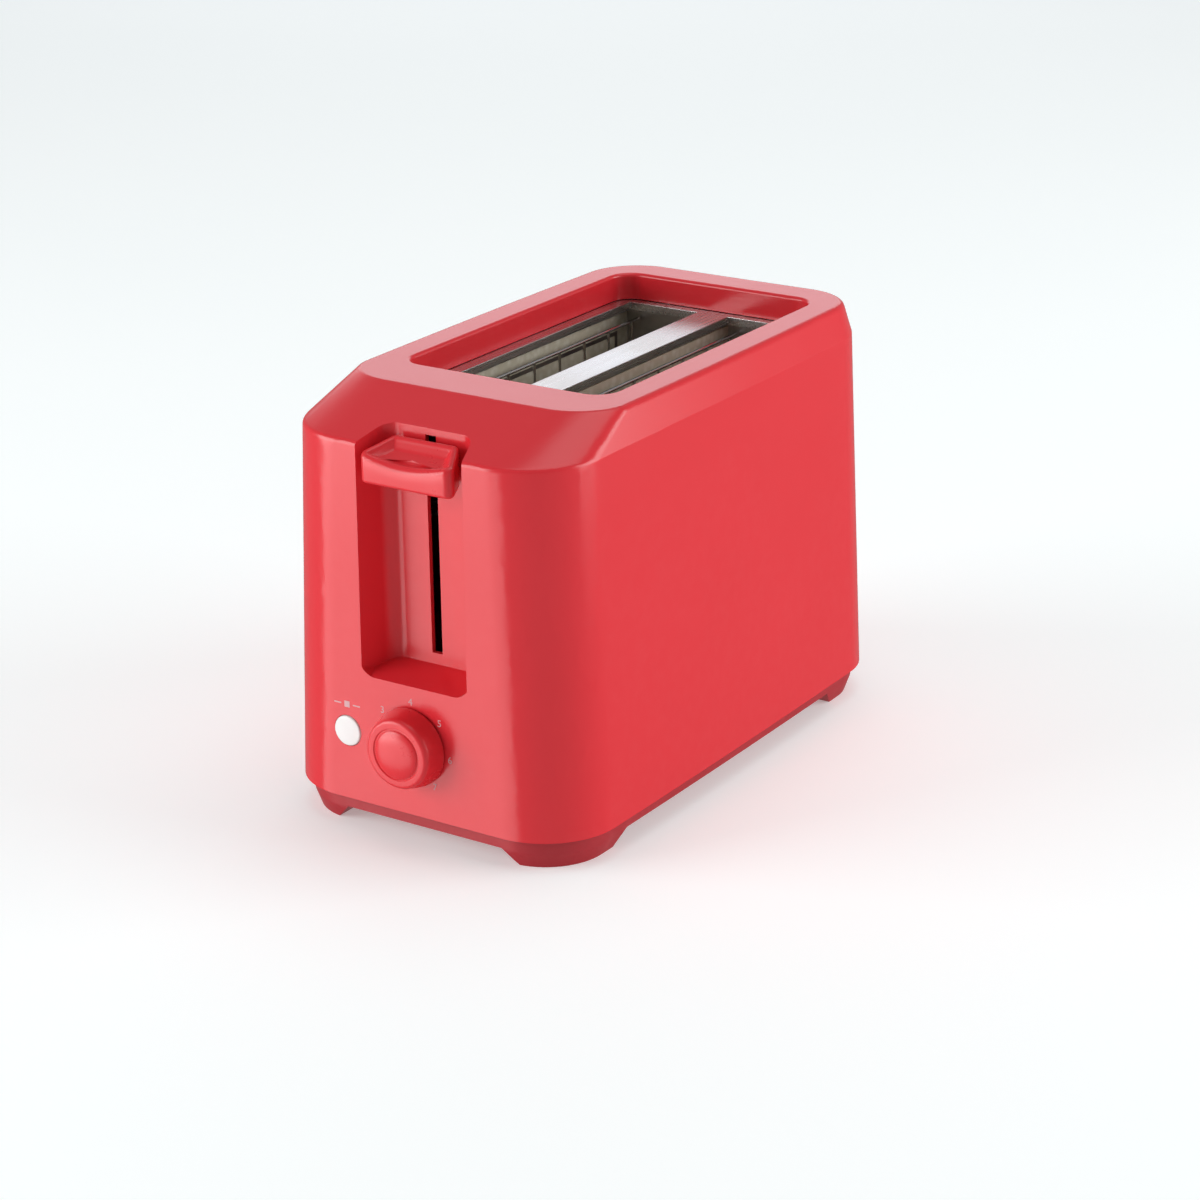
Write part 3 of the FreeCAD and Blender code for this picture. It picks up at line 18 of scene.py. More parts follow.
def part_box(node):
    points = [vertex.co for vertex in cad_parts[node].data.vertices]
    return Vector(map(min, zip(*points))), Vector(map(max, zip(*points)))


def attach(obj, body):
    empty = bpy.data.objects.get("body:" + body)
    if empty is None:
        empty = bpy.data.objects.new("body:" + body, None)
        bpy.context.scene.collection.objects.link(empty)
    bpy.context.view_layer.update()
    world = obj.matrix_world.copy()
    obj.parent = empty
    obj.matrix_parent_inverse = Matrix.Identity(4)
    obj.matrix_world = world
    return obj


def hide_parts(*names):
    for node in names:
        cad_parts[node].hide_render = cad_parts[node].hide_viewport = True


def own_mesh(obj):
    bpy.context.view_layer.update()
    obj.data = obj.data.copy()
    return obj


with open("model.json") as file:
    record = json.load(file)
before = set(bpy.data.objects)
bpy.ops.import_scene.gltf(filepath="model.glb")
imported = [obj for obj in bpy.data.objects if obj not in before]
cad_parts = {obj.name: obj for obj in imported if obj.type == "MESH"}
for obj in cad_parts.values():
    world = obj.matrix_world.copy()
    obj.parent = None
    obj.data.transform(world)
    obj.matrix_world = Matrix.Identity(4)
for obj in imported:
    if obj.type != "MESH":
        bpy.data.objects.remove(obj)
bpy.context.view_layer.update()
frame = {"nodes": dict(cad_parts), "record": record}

MM = 0.001
WELD = 2e-6                  # points of the frame's meshes nearer than this are one
LOG = logging.getLogger("toaster")
Colour = tuple[float, float, float]


class Body(Enum):
    """Moving groups of the frame that the pieces ride on."""

    APPLIANCE = "appliance"
    CARRIAGE = "carriage"
    DIAL = "dial"
    BUTTON = "button"
    TRAY = "tray"


class Side(Enum):
    """The four places across the toaster where a guard and a heater stand."""

    OUTER_LEFT = "outer_left"
    INNER_LEFT = "inner_left"
    INNER_RIGHT = "inner_right"
    OUTER_RIGHT = "outer_right"


# ---------------------------------------------------------------- shader groups and finishes


class NodeBench:
    """Adds nodes to one node tree and joins them."""

    def __init__(self, tree: bpy.types.NodeTree) -> None:
        """Keeps the tree.

        Args:
            tree: the shader or geometry tree that nodes are added to.
        """
        self.tree = tree

    def add(self, kind: str, **values: object) -> bpy.types.Node:
        """Adds a node and sets its properties.

        Args:
            kind: the node's type name.
            **values: properties of the node.

        Returns:
            The new node.
        """
        node = self.tree.nodes.new(kind)
        for name, value in values.items():
            setattr(node, name, value)
        return node

    def join(self, source: bpy.types.NodeSocket, target: bpy.types.NodeSocket) -> None:
        """Links two sockets."""
        self.tree.links.new(source, target)

    def maths(self, operation: str, first: object, second: object) -> bpy.types.NodeSocket:
        """Adds a Math node.

        Args:
            operation: the Math node's operation.
            first: a socket or a number.
            second: a socket or a number.

        Returns:
            The node's output.
        """
        node = self.add("ShaderNodeMath", operation=operation)
        for slot, value in zip(node.inputs, (first, second)):
            if isinstance(value, bpy.types.NodeSocket):
                self.join(value, slot)
            else:
                slot.default_value = value
        return node.outputs[0]

    def ramp(self, source: bpy.types.NodeSocket, low: float, high: float) -> bpy.types.NodeSocket:
        """Stretches a value so that low gives 0 and high gives 1, held between them.

        Args:
            source: the value.
            low: what becomes 0.
            high: what becomes 1.

        Returns:
            The stretched value.
        """
        node = self.add("ShaderNodeMapRange")
        node.inputs["From Min"].default_value = low
        node.inputs["From Max"].default_value = high
        self.join(source, node.inputs["Value"])
        return node.outputs["Result"]

    def blend(self, share: bpy.types.NodeSocket, first: object, second: object) -> bpy.types.NodeSocket:
        """Mixes two colours.

        Args:
            share: how much of the second colour shows.
            first: a socket or a colour.
            second: a socket or a colour.

        Returns:
            The mixed colour.
        """
        node = self.add("ShaderNodeMix", data_type="RGBA")
        self.join(share, node.inputs["Factor"])
        for name, value in (("A", first), ("B", second)):
            slot = [s for s in node.inputs if s.name == name and s.type == "RGBA"][0]
            if isinstance(value, bpy.types.NodeSocket):
                self.join(value, slot)
            else:
                slot.default_value = (*value, 1.0)
        return [s for s in node.outputs if s.type == "RGBA"][0]


class ShaderGroups:
    """Effects that several finishes share, each built once."""

    def __init__(self) -> None:
        """Builds the groups."""
        self.grain = self._grain()
        self.wear = self._wear()
        self.brush = self._brush()

    @staticmethod
    def _group(name: str, inputs: dict[str, tuple[str, object]], outputs: dict[str, str]) -> tuple:
        """Makes an empty group with its sockets.

        Args:
            name: the group's name.
            inputs: socket name to its type and default.
            outputs: socket name to its type.

        Returns:
            The group, a bench on it, its input node and its output node.
        """
        group = bpy.data.node_groups.new(name, "ShaderNodeTree")
        for label, (kind, value) in inputs.items():
            socket = group.interface.new_socket(label, in_out="INPUT", socket_type=kind)
            socket.default_value = value
        for label, kind in outputs.items():
            group.interface.new_socket(label, in_out="OUTPUT", socket_type=kind)
        bench = NodeBench(group)
        return group, bench, bench.add("NodeGroupInput"), bench.add("NodeGroupOutput")

    def _grain(self) -> bpy.types.NodeTree:
        """Moulded grain: a fine height, and slow changes of tone and gloss.

        Returns:
            The group, with outputs Height, Tone and Gloss between 0 and 1.
        """
        group, bench, given, out = self._group(
            "moulded_grain",
            {"Grain Size": ("NodeSocketFloat", 900.0), "Patch Size": ("NodeSocketFloat", 14.0)},
            {"Height": "NodeSocketFloat", "Tone": "NodeSocketFloat", "Gloss": "NodeSocketFloat"})
        place = bench.add("ShaderNodeTexCoord")
        fine = bench.add("ShaderNodeTexNoise")
        fine.inputs["Detail"].default_value = 3.0
        slow = bench.add("ShaderNodeTexNoise")
        slow.inputs["Detail"].default_value = 4.0
        smear = bench.add("ShaderNodeTexNoise")
        smear.inputs["Detail"].default_value = 6.0
        smear.inputs["Roughness"].default_value = 0.65
        for node in (fine, slow, smear):
            bench.join(place.outputs["Object"], node.inputs["Vector"])
        bench.join(given.outputs["Grain Size"], fine.inputs["Scale"])
        bench.join(given.outputs["Patch Size"], slow.inputs["Scale"])
        bench.join(bench.maths("MULTIPLY", given.outputs["Patch Size"], 3.7), smear.inputs["Scale"])
        bench.join(fine.outputs["Fac"], out.inputs["Height"])
        bench.join(bench.ramp(slow.outputs["Fac"], 0.3, 0.7), out.inputs["Tone"])
        bench.join(bench.ramp(smear.outputs["Fac"], 0.35, 0.75), out.inputs["Gloss"])
        return group

    def _wear(self) -> bpy.types.NodeTree:
        """Edge wear: a broken mask along convex edges.

        Returns:
            The group, with output Mask.
        """
        group, bench, given, out = self._group(
            "edge_wear", {"Amount": ("NodeSocketFloat", 0.5)}, {"Mask": "NodeSocketFloat"})
        shape = bench.add("ShaderNodeNewGeometry")
        place = bench.add("ShaderNodeTexCoord")
        patch = bench.add("ShaderNodeTexNoise")
        patch.inputs["Scale"].default_value = 160.0
        bench.join(place.outputs["Object"], patch.inputs["Vector"])
        edge = bench.ramp(shape.outputs["Pointiness"], 0.52, 0.60)
        broken = bench.maths("MULTIPLY", edge, bench.ramp(patch.outputs["Fac"], 0.4, 0.7))
        bench.join(bench.maths("MULTIPLY", broken, given.outputs["Amount"]), out.inputs["Mask"])
        return group

    def _brush(self) -> bpy.types.NodeTree:
        """Rolled sheet: fine lines along Y, with a little staining.

        Returns:
            The group, with outputs Lines and Stain between 0 and 1.
        """
        group, bench, given, out = self._group(
            "rolled_sheet", {"Line Density": ("NodeSocketFloat", 900.0)},
            {"Lines": "NodeSocketFloat", "Stain": "NodeSocketFloat"})
        place = bench.add("ShaderNodeTexCoord")
        stretch = bench.add("ShaderNodeMapping")
        stretch.inputs["Scale"].default_value = (1.0, 0.02, 1.0)
        bench.join(place.outputs["Object"], stretch.inputs["Vector"])
        lines = bench.add("ShaderNodeTexNoise")
        bench.join(stretch.outputs["Vector"], lines.inputs["Vector"])
        bench.join(given.outputs["Line Density"], lines.inputs["Scale"])
        stain = bench.add("ShaderNodeTexNoise")
        stain.inputs["Scale"].default_value = 30.0
        stain.inputs["Detail"].default_value = 5.0
        bench.join(place.outputs["Object"], stain.inputs["Vector"])
        bench.join(lines.outputs["Fac"], out.inputs["Lines"])
        bench.join(bench.ramp(stain.outputs["Fac"], 0.4, 0.75), out.inputs["Stain"])
        return group


GROUPS = ShaderGroups()


class Finish:
    """A finish that can be laid on pieces; its material is built on first use."""

    _made: dict[str, bpy.types.Material] = {}
    name: str

    def material(self) -> bpy.types.Material:
        """Gives the finish's material.

        Returns:
            The material, built once.
        """
        if self.name not in Finish._made:
            made = bpy.data.materials.new(self.name)
            made.use_nodes = True
            bench = NodeBench(made.node_tree)
            self.paint(bench, made.node_tree.nodes["Principled BSDF"])
            Finish._made[self.name] = made
        return Finish._made[self.name]

    def paint(self, bench: NodeBench, shader: bpy.types.Node) -> None:
        """Feeds the shader; each finish has its own."""
        raise NotImplementedError

    @staticmethod
    def use(bench: NodeBench, group: bpy.types.NodeTree, **values: float) -> bpy.types.Node:
        """Places a shared group with its values.

        Args:
            bench: the material's bench.
            group: the shared group.
            **values: input name, with spaces as underscores, to its value.

        Returns:
            The group node.
        """
        node = bench.add("ShaderNodeGroup", node_tree=group)
        for name, value in values.items():
            node.inputs[name.replace("_", " ")].default_value = value
        return node

    @staticmethod
    def bump(bench: NodeBench, shader: bpy.types.Node, height: bpy.types.NodeSocket, depth: float) -> None:
        """Lays a fine relief on the surface.

        Args:
            bench: the material's bench.
            shader: the Principled shader.
            height: relief between 0 and 1.
            depth: its full depth in metres.
        """
        node = bench.add("ShaderNodeBump")
        node.inputs["Distance"].default_value = depth
        node.inputs["Strength"].default_value = 1.0
        bench.join(height, node.inputs["Height"])
        bench.join(node.outputs["Normal"], shader.inputs["Normal"])


@dataclass(frozen=True)
class Moulding(Finish):
    """Injection-moulded plastic."""

    name: str
    colour: Colour
    deep: Colour
    worn: Colour
    rough: tuple[float, float] = (0.24, 0.32)
    relief: float = 2e-6
    grain: float = 900.0
    wear: float = 0.25

    def paint(self, bench: NodeBench, shader: bpy.types.Node) -> None:
        """Slow tone changes, faint grain, and paler worn edges.

        Args:
            bench: the material's bench.
            shader: the Principled shader.
        """
        grain = self.use(bench, GROUPS.grain, Grain_Size=self.grain)
        wear = self.use(bench, GROUPS.wear, Amount=self.wear)
        tone = bench.blend(grain.outputs["Tone"], self.colour, self.deep)
        bench.join(bench.blend(wear.outputs["Mask"], tone, self.worn), shader.inputs["Base Color"])
        low, high = self.rough
        spread = bench.maths("MULTIPLY", grain.outputs["Gloss"], high - low)
        bench.join(bench.maths("ADD", spread, low), shader.inputs["Roughness"])
        self.bump(bench, shader, grain.outputs["Height"], self.relief)


@dataclass(frozen=True)
class Sheet(Finish):
    """Rolled or drawn metal."""

    name: str
    colour: Colour
    stain: Colour
    rough: tuple[float, float] = (0.16, 0.34)
    relief: float = 4e-6
    lines: float = 900.0

    def paint(self, bench: NodeBench, shader: bpy.types.Node) -> None:
        """Rolling lines and a little heat stain.

        Args:
            bench: the material's bench.
            shader: the Principled shader.
        """
        brush = self.use(bench, GROUPS.brush, Line_Density=self.lines)
        bench.join(bench.blend(brush.outputs["Stain"], self.colour, self.stain), shader.inputs["Base Color"])
        shader.inputs["Metallic"].default_value = 1.0
        low, high = self.rough
        spread = bench.maths("MULTIPLY", brush.outputs["Lines"], high - low)
        bench.join(bench.maths("ADD", spread, low), shader.inputs["Roughness"])
        self.bump(bench, shader, brush.outputs["Lines"], self.relief)


@dataclass(frozen=True)
class Flecked(Finish):
    """Pressed mica or laminate: a matt board with flakes of another tone."""

    name: str
    colour: Colour
    fleck: Colour
    size: float = 260.0
    rough: float = 0.55

    def paint(self, bench: NodeBench, shader: bpy.types.Node) -> None:
        """Flakes from a cell pattern over a soft tone.

        Args:
            bench: the material's bench.
            shader: the Principled shader.
        """
        place = bench.add("ShaderNodeTexCoord")
        cells = bench.add("ShaderNodeTexVoronoi")
        cells.inputs["Scale"].default_value = self.size
        bench.join(place.outputs["Object"], cells.inputs["Vector"])
        flakes = bench.ramp(cells.outputs["Distance"], 0.15, 0.6)
        bench.join(bench.blend(flakes, self.fleck, self.colour), shader.inputs["Base Color"])
        spread = bench.maths("MULTIPLY", flakes, 0.15)
        bench.join(bench.maths("ADD", spread, self.rough), shader.inputs["Roughness"])
        self.bump(bench, shader, cells.outputs["Distance"], 1e-5)


@dataclass(frozen=True)
class Banded(Finish):
    """Stacked laminations or wound wire: bands across one axis."""

    name: str
    colour: Colour
    gap: Colour
    axis: str = "Z"
    bands: float = 600.0
    metal: float = 1.0
    rough: float = 0.35

    def paint(self, bench: NodeBench, shader: bpy.types.Node) -> None:
        """Bands with dark gaps, raised in the middle of each.

        Args:
            bench: the material's bench.
            shader: the Principled shader.
        """
        place = bench.add("ShaderNodeTexCoord")
        wave = bench.add("ShaderNodeTexWave", bands_direction=self.axis)
        wave.inputs["Scale"].default_value = self.bands
        wave.inputs["Distortion"].default_value = 0.4
        bench.join(place.outputs["Object"], wave.inputs["Vector"])
        bench.join(bench.blend(wave.outputs["Fac"], self.gap, self.colour), shader.inputs["Base Color"])
        shader.inputs["Metallic"].default_value = self.metal
        spread = bench.maths("MULTIPLY", wave.outputs["Fac"], -0.1)
        bench.join(bench.maths("ADD", spread, self.rough + 0.1), shader.inputs["Roughness"])
        self.bump(bench, shader, wave.outputs["Fac"], 6e-5)


RED_SHELL = Moulding("red_shell_gloss", (0.73, 0.026, 0.037), (0.715, 0.024, 0.034), (0.80, 0.10, 0.11),
                     (0.225, 0.25), relief=6e-7, wear=0.04)
RED_CONTROL = Moulding("red_control", (0.76, 0.026, 0.036), (0.72, 0.02, 0.03), (0.82, 0.12, 0.13),
                       (0.27, 0.31))
RED_BASE = Moulding("red_base_satin", (0.44, 0.014, 0.024), (0.40, 0.012, 0.02), (0.52, 0.07, 0.08),
                    (0.38, 0.48), relief=5e-6, grain=1500.0)
WHITE_CAP = Moulding("white_cap", (0.86, 0.84, 0.83), (0.84, 0.82, 0.80), (0.9, 0.88, 0.86), (0.22, 0.3))
BLACK_PLASTIC = Moulding("black_plastic", (0.018, 0.018, 0.02), (0.014, 0.014, 0.016), (0.07, 0.07, 0.07),
                         (0.4, 0.52), relief=6e-6)
RUBBER = Moulding("stop_rubber", (0.012, 0.012, 0.012), (0.02, 0.02, 0.02), (0.05, 0.05, 0.05), (0.6, 0.75))
SLEEVE = Moulding("silicone_sleeve", (0.72, 0.69, 0.62), (0.66, 0.63, 0.56), (0.8, 0.78, 0.7), (0.45, 0.55))
CERAMIC = Moulding("ceramic_block", (0.74, 0.71, 0.65), (0.66, 0.63, 0.57), (0.84, 0.82, 0.78), (0.5, 0.62),
                   relief=1.2e-5, grain=700.0)
PRINT = Moulding("pale_print", (0.70, 0.40, 0.42), (0.62, 0.34, 0.37), (0.74, 0.46, 0.48), (0.4, 0.5))
BRIGHT_SHEET = Sheet("bright_sheet", (0.62, 0.62, 0.63), (0.54, 0.52, 0.50), (0.22, 0.34))
STEEL_SHEET = Sheet("mill_sheet", (0.58, 0.58, 0.59), (0.50, 0.47, 0.44), (0.24, 0.42))
CHROME_WIRE = Sheet("drawn_wire", (0.74, 0.74, 0.75), (0.60, 0.56, 0.52), (0.10, 0.2), 2e-6, 1600.0)
SCREW_STEEL = Sheet("zinc_screw", (0.52, 0.53, 0.55), (0.46, 0.44, 0.38), (0.25, 0.38))
BRASS = Sheet("brass_strip", (0.80, 0.58, 0.26), (0.62, 0.42, 0.2), (0.2, 0.34))
HEATER = Sheet("heater_alloy", (0.30, 0.27, 0.25), (0.20, 0.15, 0.16), (0.35, 0.5))
MICA = Flecked("pressed_mica", (0.62, 0.57, 0.44), (0.74, 0.70, 0.58))
LAMINATE = Flecked("board_laminate", (0.42, 0.27, 0.12), (0.48, 0.32, 0.15), 900.0, 0.45)
IRON = Banded("laminated_core", (0.34, 0.34, 0.36), (0.10, 0.10, 0.11), "X", 320.0, 1.0, 0.4)
COPPER = Banded("copper_winding", (0.72, 0.30, 0.12), (0.22, 0.08, 0.03), "Z", 520.0, 1.0, 0.3)


# ---------------------------------------------------------------- mesh bench


def crisp(mesh: bpy.types.Mesh, angle: float = 32.0) -> None:
    """Shades a mesh smooth, with hard edges where its faces meet at more than an angle.

    Args:
        mesh: the mesh.
        angle: the least angle of a hard edge, in degrees.
    """
    work = bmesh.new()
    work.from_mesh(mesh)
    limit = math.radians(angle)
    for edge in work.edges:
        edge.smooth = len(edge.link_faces) == 2 and edge.calc_face_angle(0.0) < limit
    for face in work.faces:
        face.smooth = True
    work.to_mesh(mesh)
    work.free()


def evaluated(name: str, mesh: bpy.types.Mesh, kind: str, settings: dict[str, object]) -> bpy.types.Mesh:
    """Runs one modifier on a mesh and keeps the result as a plain mesh.

    Args:
        name: the working object's name.
        mesh: the mesh.
        kind: the modifier's type.
        settings: its settings; for a geometry tree, also the values of the tree's inputs.

    Returns:
        The plain mesh.
    """
    holder = bpy.data.objects.new(name, mesh)
    bpy.context.scene.collection.objects.link(holder)
    modifier = holder.modifiers.new("make", kind)
    for label, value in settings.items():
        if hasattr(modifier, label):
            setattr(modifier, label, value)
        else:
            modifier[label] = value
    shown = holder.evaluated_get(bpy.context.evaluated_depsgraph_get())
    plain = bpy.data.meshes.new_from_object(shown)
    holder.modifiers.remove(modifier)
    bpy.data.objects.remove(holder)
    return plain


def flat_walled(mesh: bpy.types.Mesh) -> bpy.types.Mesh:
    """Weighs the shading normals by face area, so that a wall stays flat beside its roundings.

    Args:
        mesh: the mesh, with its hard edges marked.

    Returns:
        The new mesh.
    """
    settings = {"mode": "FACE_AREA", "weight": 50, "keep_sharp": True}
    return evaluated(mesh.name, mesh, "WEIGHTED_NORMAL", settings)


def piece(name: str, mesh: bpy.types.Mesh, finish: Finish, body: str,
          stands_for: Sequence[str] = ()) -> bpy.types.Object:
    """Puts a finished mesh on the toaster.

    Args:
        name: the piece's name.
        mesh: its mesh, in the frame's axes.
        finish: what it is made of.
        body: the body that it moves with.
        stands_for: frame nodes that it replaces.

    Returns:
        The piece.
    """
    mesh.name = name
    mesh.materials.clear()
    mesh.materials.append(finish.material())
    made = bpy.data.objects.new(name, mesh)
    bpy.context.scene.collection.objects.link(made)
    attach(made, body)
    if stands_for:
        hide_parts(*stands_for)
    LOG.info("%s: %d faces", name, len(mesh.polygons))
    return made


def merged_copy(node: str) -> bmesh.types.BMesh:
    """Copies a frame node's mesh with its loose triangles joined.

    Args:
        node: the frame node.

    Returns:
        The joined mesh.
    """
    work = bmesh.new()
    work.from_mesh(frame["nodes"][node].data)
    bmesh.ops.remove_doubles(work, verts=work.verts, dist=WELD)
    return work


@dataclass(frozen=True)
class Easing:
    """How one family of edges is rounded."""

    width: float
    segments: int = 2
    chosen: Callable[[Vector], bool] = lambda middle: True


def eased_copy(node: str, *easings: Easing, angle: float = 28.0) -> bpy.types.Mesh:
    """Copies a frame node with its sharp edges eased, as a moulding or a folded sheet has them.

    Args:
        node: the frame node.
        *easings: the families of edges, rounded in this order.
        angle: the least angle of an edge that is eased, in degrees.

    Returns:
        The new mesh.
    """
    work = merged_copy(node)
    bmesh.ops.dissolve_limit(work, angle_limit=math.radians(0.05), verts=work.verts, edges=work.edges)
    limit = math.radians(angle)
    for easing in easings:
        sharp = [e for e in work.edges if len(e.link_faces) == 2 and e.calc_face_angle(0.0) > limit
                 and easing.chosen((e.verts[0].co + e.verts[1].co) / 2)]
        bmesh.ops.bevel(work, geom=sharp, offset=easing.width, offset_type="OFFSET", segments=easing.segments,
                        profile=0.5, affect="EDGES", clamp_overlap=True, loop_slide=True)
    mesh = bpy.data.meshes.new(node)
    work.to_mesh(mesh)
    work.free()
    crisp(mesh, 40.0)
    return flat_walled(mesh)


def turned(profile: Iterable[tuple[float, float]], centre: Vector, steps: int = 96) -> bpy.types.Mesh:
    """Turns a profile about an axis along Y.

    Args:
        profile: radius and y of each point, from the rear of the axis to its front.
        centre: a point on the axis; its y is not used.
        steps: points round the axis.

    Returns:
        The closed mesh.
    """
    work = bmesh.new()
    rings = []
    for radius, y in profile:
        if radius < 1e-7:
            rings.append([work.verts.new((centre.x, y, centre.z))])
            continue
        ring = []
        for step in range(steps):
            turn = 2 * math.pi * step / steps
            across, up = radius * math.cos(turn), radius * math.sin(turn)
            ring.append(work.verts.new((centre.x + across, y, centre.z + up)))
        rings.append(ring)
    for low, high in zip(rings, rings[1:]):
        for step in range(steps):
            after = (step + 1) % steps
            corners = [low[step % len(low)], low[after % len(low)],
                       high[after % len(high)], high[step % len(high)]]
            unique = list(dict.fromkeys(corners))
            if len(unique) > 2:
                work.faces.new(unique)
    bmesh.ops.recalc_face_normals(work, faces=work.faces)
    mesh = bpy.data.meshes.new("turned")
    work.to_mesh(mesh)
    work.free()
    crisp(mesh, 38.0)
    return mesh


def from_nodes(name: str, tree: bpy.types.NodeTree, values: dict[str, object]) -> bpy.types.Mesh:
    """Runs a geometry tree on an empty mesh and keeps the result as a plain mesh.

    Args:
        name: the working object's name.
        tree: the geometry tree.
        values: input name to its value.

    Returns:
        The plain mesh.
    """
    sockets = {item.name: item.identifier for item in tree.interface.items_tree if item.in_out == "INPUT"}
    settings: dict[str, object] = {"node_group": tree}
    settings.update({sockets[label]: value for label, value in values.items()})
    return evaluated(name, bpy.data.meshes.new(name), "NODES", settings)


class GeometryBench(NodeBench):
    """A geometry tree with named inputs, ending in real geometry with one finish."""

    def __init__(self, name: str, inputs: dict[str, tuple[str, object]]) -> None:
        """Makes the tree.

        Args:
            name: the tree's name.
            inputs: socket name to its type and default.
        """
        super().__init__(bpy.data.node_groups.new(name, "GeometryNodeTree"))
        for label, (kind, value) in inputs.items():
            socket = self.tree.interface.new_socket(label, in_out="INPUT", socket_type=kind)
            socket.default_value = value
        self.tree.interface.new_socket("Geometry", in_out="OUTPUT", socket_type="NodeSocketGeometry")
        self.given = self.add("NodeGroupInput")
        self.shapes: list[bpy.types.NodeSocket] = []

    def vector(self, x: object = 0.0, y: object = 0.0, z: object = 0.0) -> bpy.types.NodeSocket:
        """Joins three numbers or sockets as a vector.

        Args:
            x: first part.
            y: second part.
            z: third part.

        Returns:
            The vector.
        """
        node = self.add("ShaderNodeCombineXYZ")
        for slot, value in zip(node.inputs, (x, y, z)):
            if isinstance(value, bpy.types.NodeSocket):
                self.join(value, slot)
            else:
                slot.default_value = value
        return node.outputs[0]

    def wire(self, start: bpy.types.NodeSocket, end: bpy.types.NodeSocket,
             radius: bpy.types.NodeSocket, sides: int) -> bpy.types.NodeSocket:
        """A straight round wire.

        Args:
            start: its first end.
            end: its other end.
            radius: its radius.
            sides: faces round it.

        Returns:
            The wire.
        """
        line = self.add("GeometryNodeCurvePrimitiveLine")
        self.join(start, line.inputs["Start"])
        self.join(end, line.inputs["End"])
        return self.swept(line.outputs["Curve"], radius, sides)

    def swept(self, path: bpy.types.NodeSocket, radius: bpy.types.NodeSocket,
              sides: int) -> bpy.types.NodeSocket:
        """Sweeps a circle along a curve, with closed ends.

        Args:
            path: the curve.
            radius: the circle's radius.
            sides: points on the circle.

        Returns:
            The swept mesh.
        """
        ring = self.add("GeometryNodeCurvePrimitiveCircle")
        ring.inputs["Resolution"].default_value = sides
        self.join(radius, ring.inputs["Radius"])
        sweep = self.add("GeometryNodeCurveToMesh")
        sweep.inputs["Fill Caps"].default_value = True
        self.join(path, sweep.inputs["Curve"])
        self.join(ring.outputs["Curve"], sweep.inputs["Profile Curve"])
        return sweep.outputs["Mesh"]

    def row(self, shape: bpy.types.NodeSocket, count: bpy.types.NodeSocket, start: bpy.types.NodeSocket,
            step: bpy.types.NodeSocket) -> bpy.types.NodeSocket:
        """Repeats a shape in a straight row.

        Args:
            shape: what is repeated.
            count: how many there are.
            start: place of the first.
            step: from each to the next.

        Returns:
            The copies.
        """
        line = self.add("GeometryNodeMeshLine", mode="OFFSET")
        self.join(count, line.inputs["Count"])
        self.join(start, line.inputs["Start Location"])
        self.join(step, line.inputs["Offset"])
        copies = self.add("GeometryNodeInstanceOnPoints")
        self.join(line.outputs["Mesh"], copies.inputs["Points"])
        self.join(shape, copies.inputs["Instance"])
        return copies.outputs["Instances"]

    def close(self, finish: Finish) -> bpy.types.NodeTree:
        """Ends the tree: all shapes joined, made real and given their finish.

        Args:
            finish: what they are made of.

        Returns:
            The finished tree.
        """
        joined = self.add("GeometryNodeJoinGeometry")
        for shape in self.shapes:
            self.join(shape, joined.inputs["Geometry"])
        real = self.add("GeometryNodeRealizeInstances")
        self.join(joined.outputs["Geometry"], real.inputs["Geometry"])
        smooth = self.add("GeometryNodeSetShadeSmooth")
        self.join(real.outputs["Geometry"], smooth.inputs["Geometry"])
        dressed = self.add("GeometryNodeSetMaterial")
        dressed.inputs["Material"].default_value = finish.material()
        self.join(smooth.outputs["Geometry"], dressed.inputs["Geometry"])
        out = self.add("NodeGroupOutput")
        self.join(dressed.outputs["Geometry"], out.inputs["Geometry"])
        return self.tree


# ---------------------------------------------------------------- the toaster's sub-assemblies


class Wall:
    """The housing's outer surface, for things that are laid on it."""

    def __init__(self) -> None:
        """Builds the search tree from the frame's housing."""
        work = merged_copy("housing")
        self.tree = BVHTree.FromBMesh(work)
        work.free()

    def along(self, start: Vector, direction: Vector) -> Vector:
        """Finds where a line first meets the housing.

        Args:
            start: where the line starts.
            direction: where it goes.

        Returns:
            The point on the surface.
        """
        hit = self.tree.ray_cast(start, direction)[0]
        if hit is None:
            raise ValueError(f"nothing in the way from {start}")
        return hit


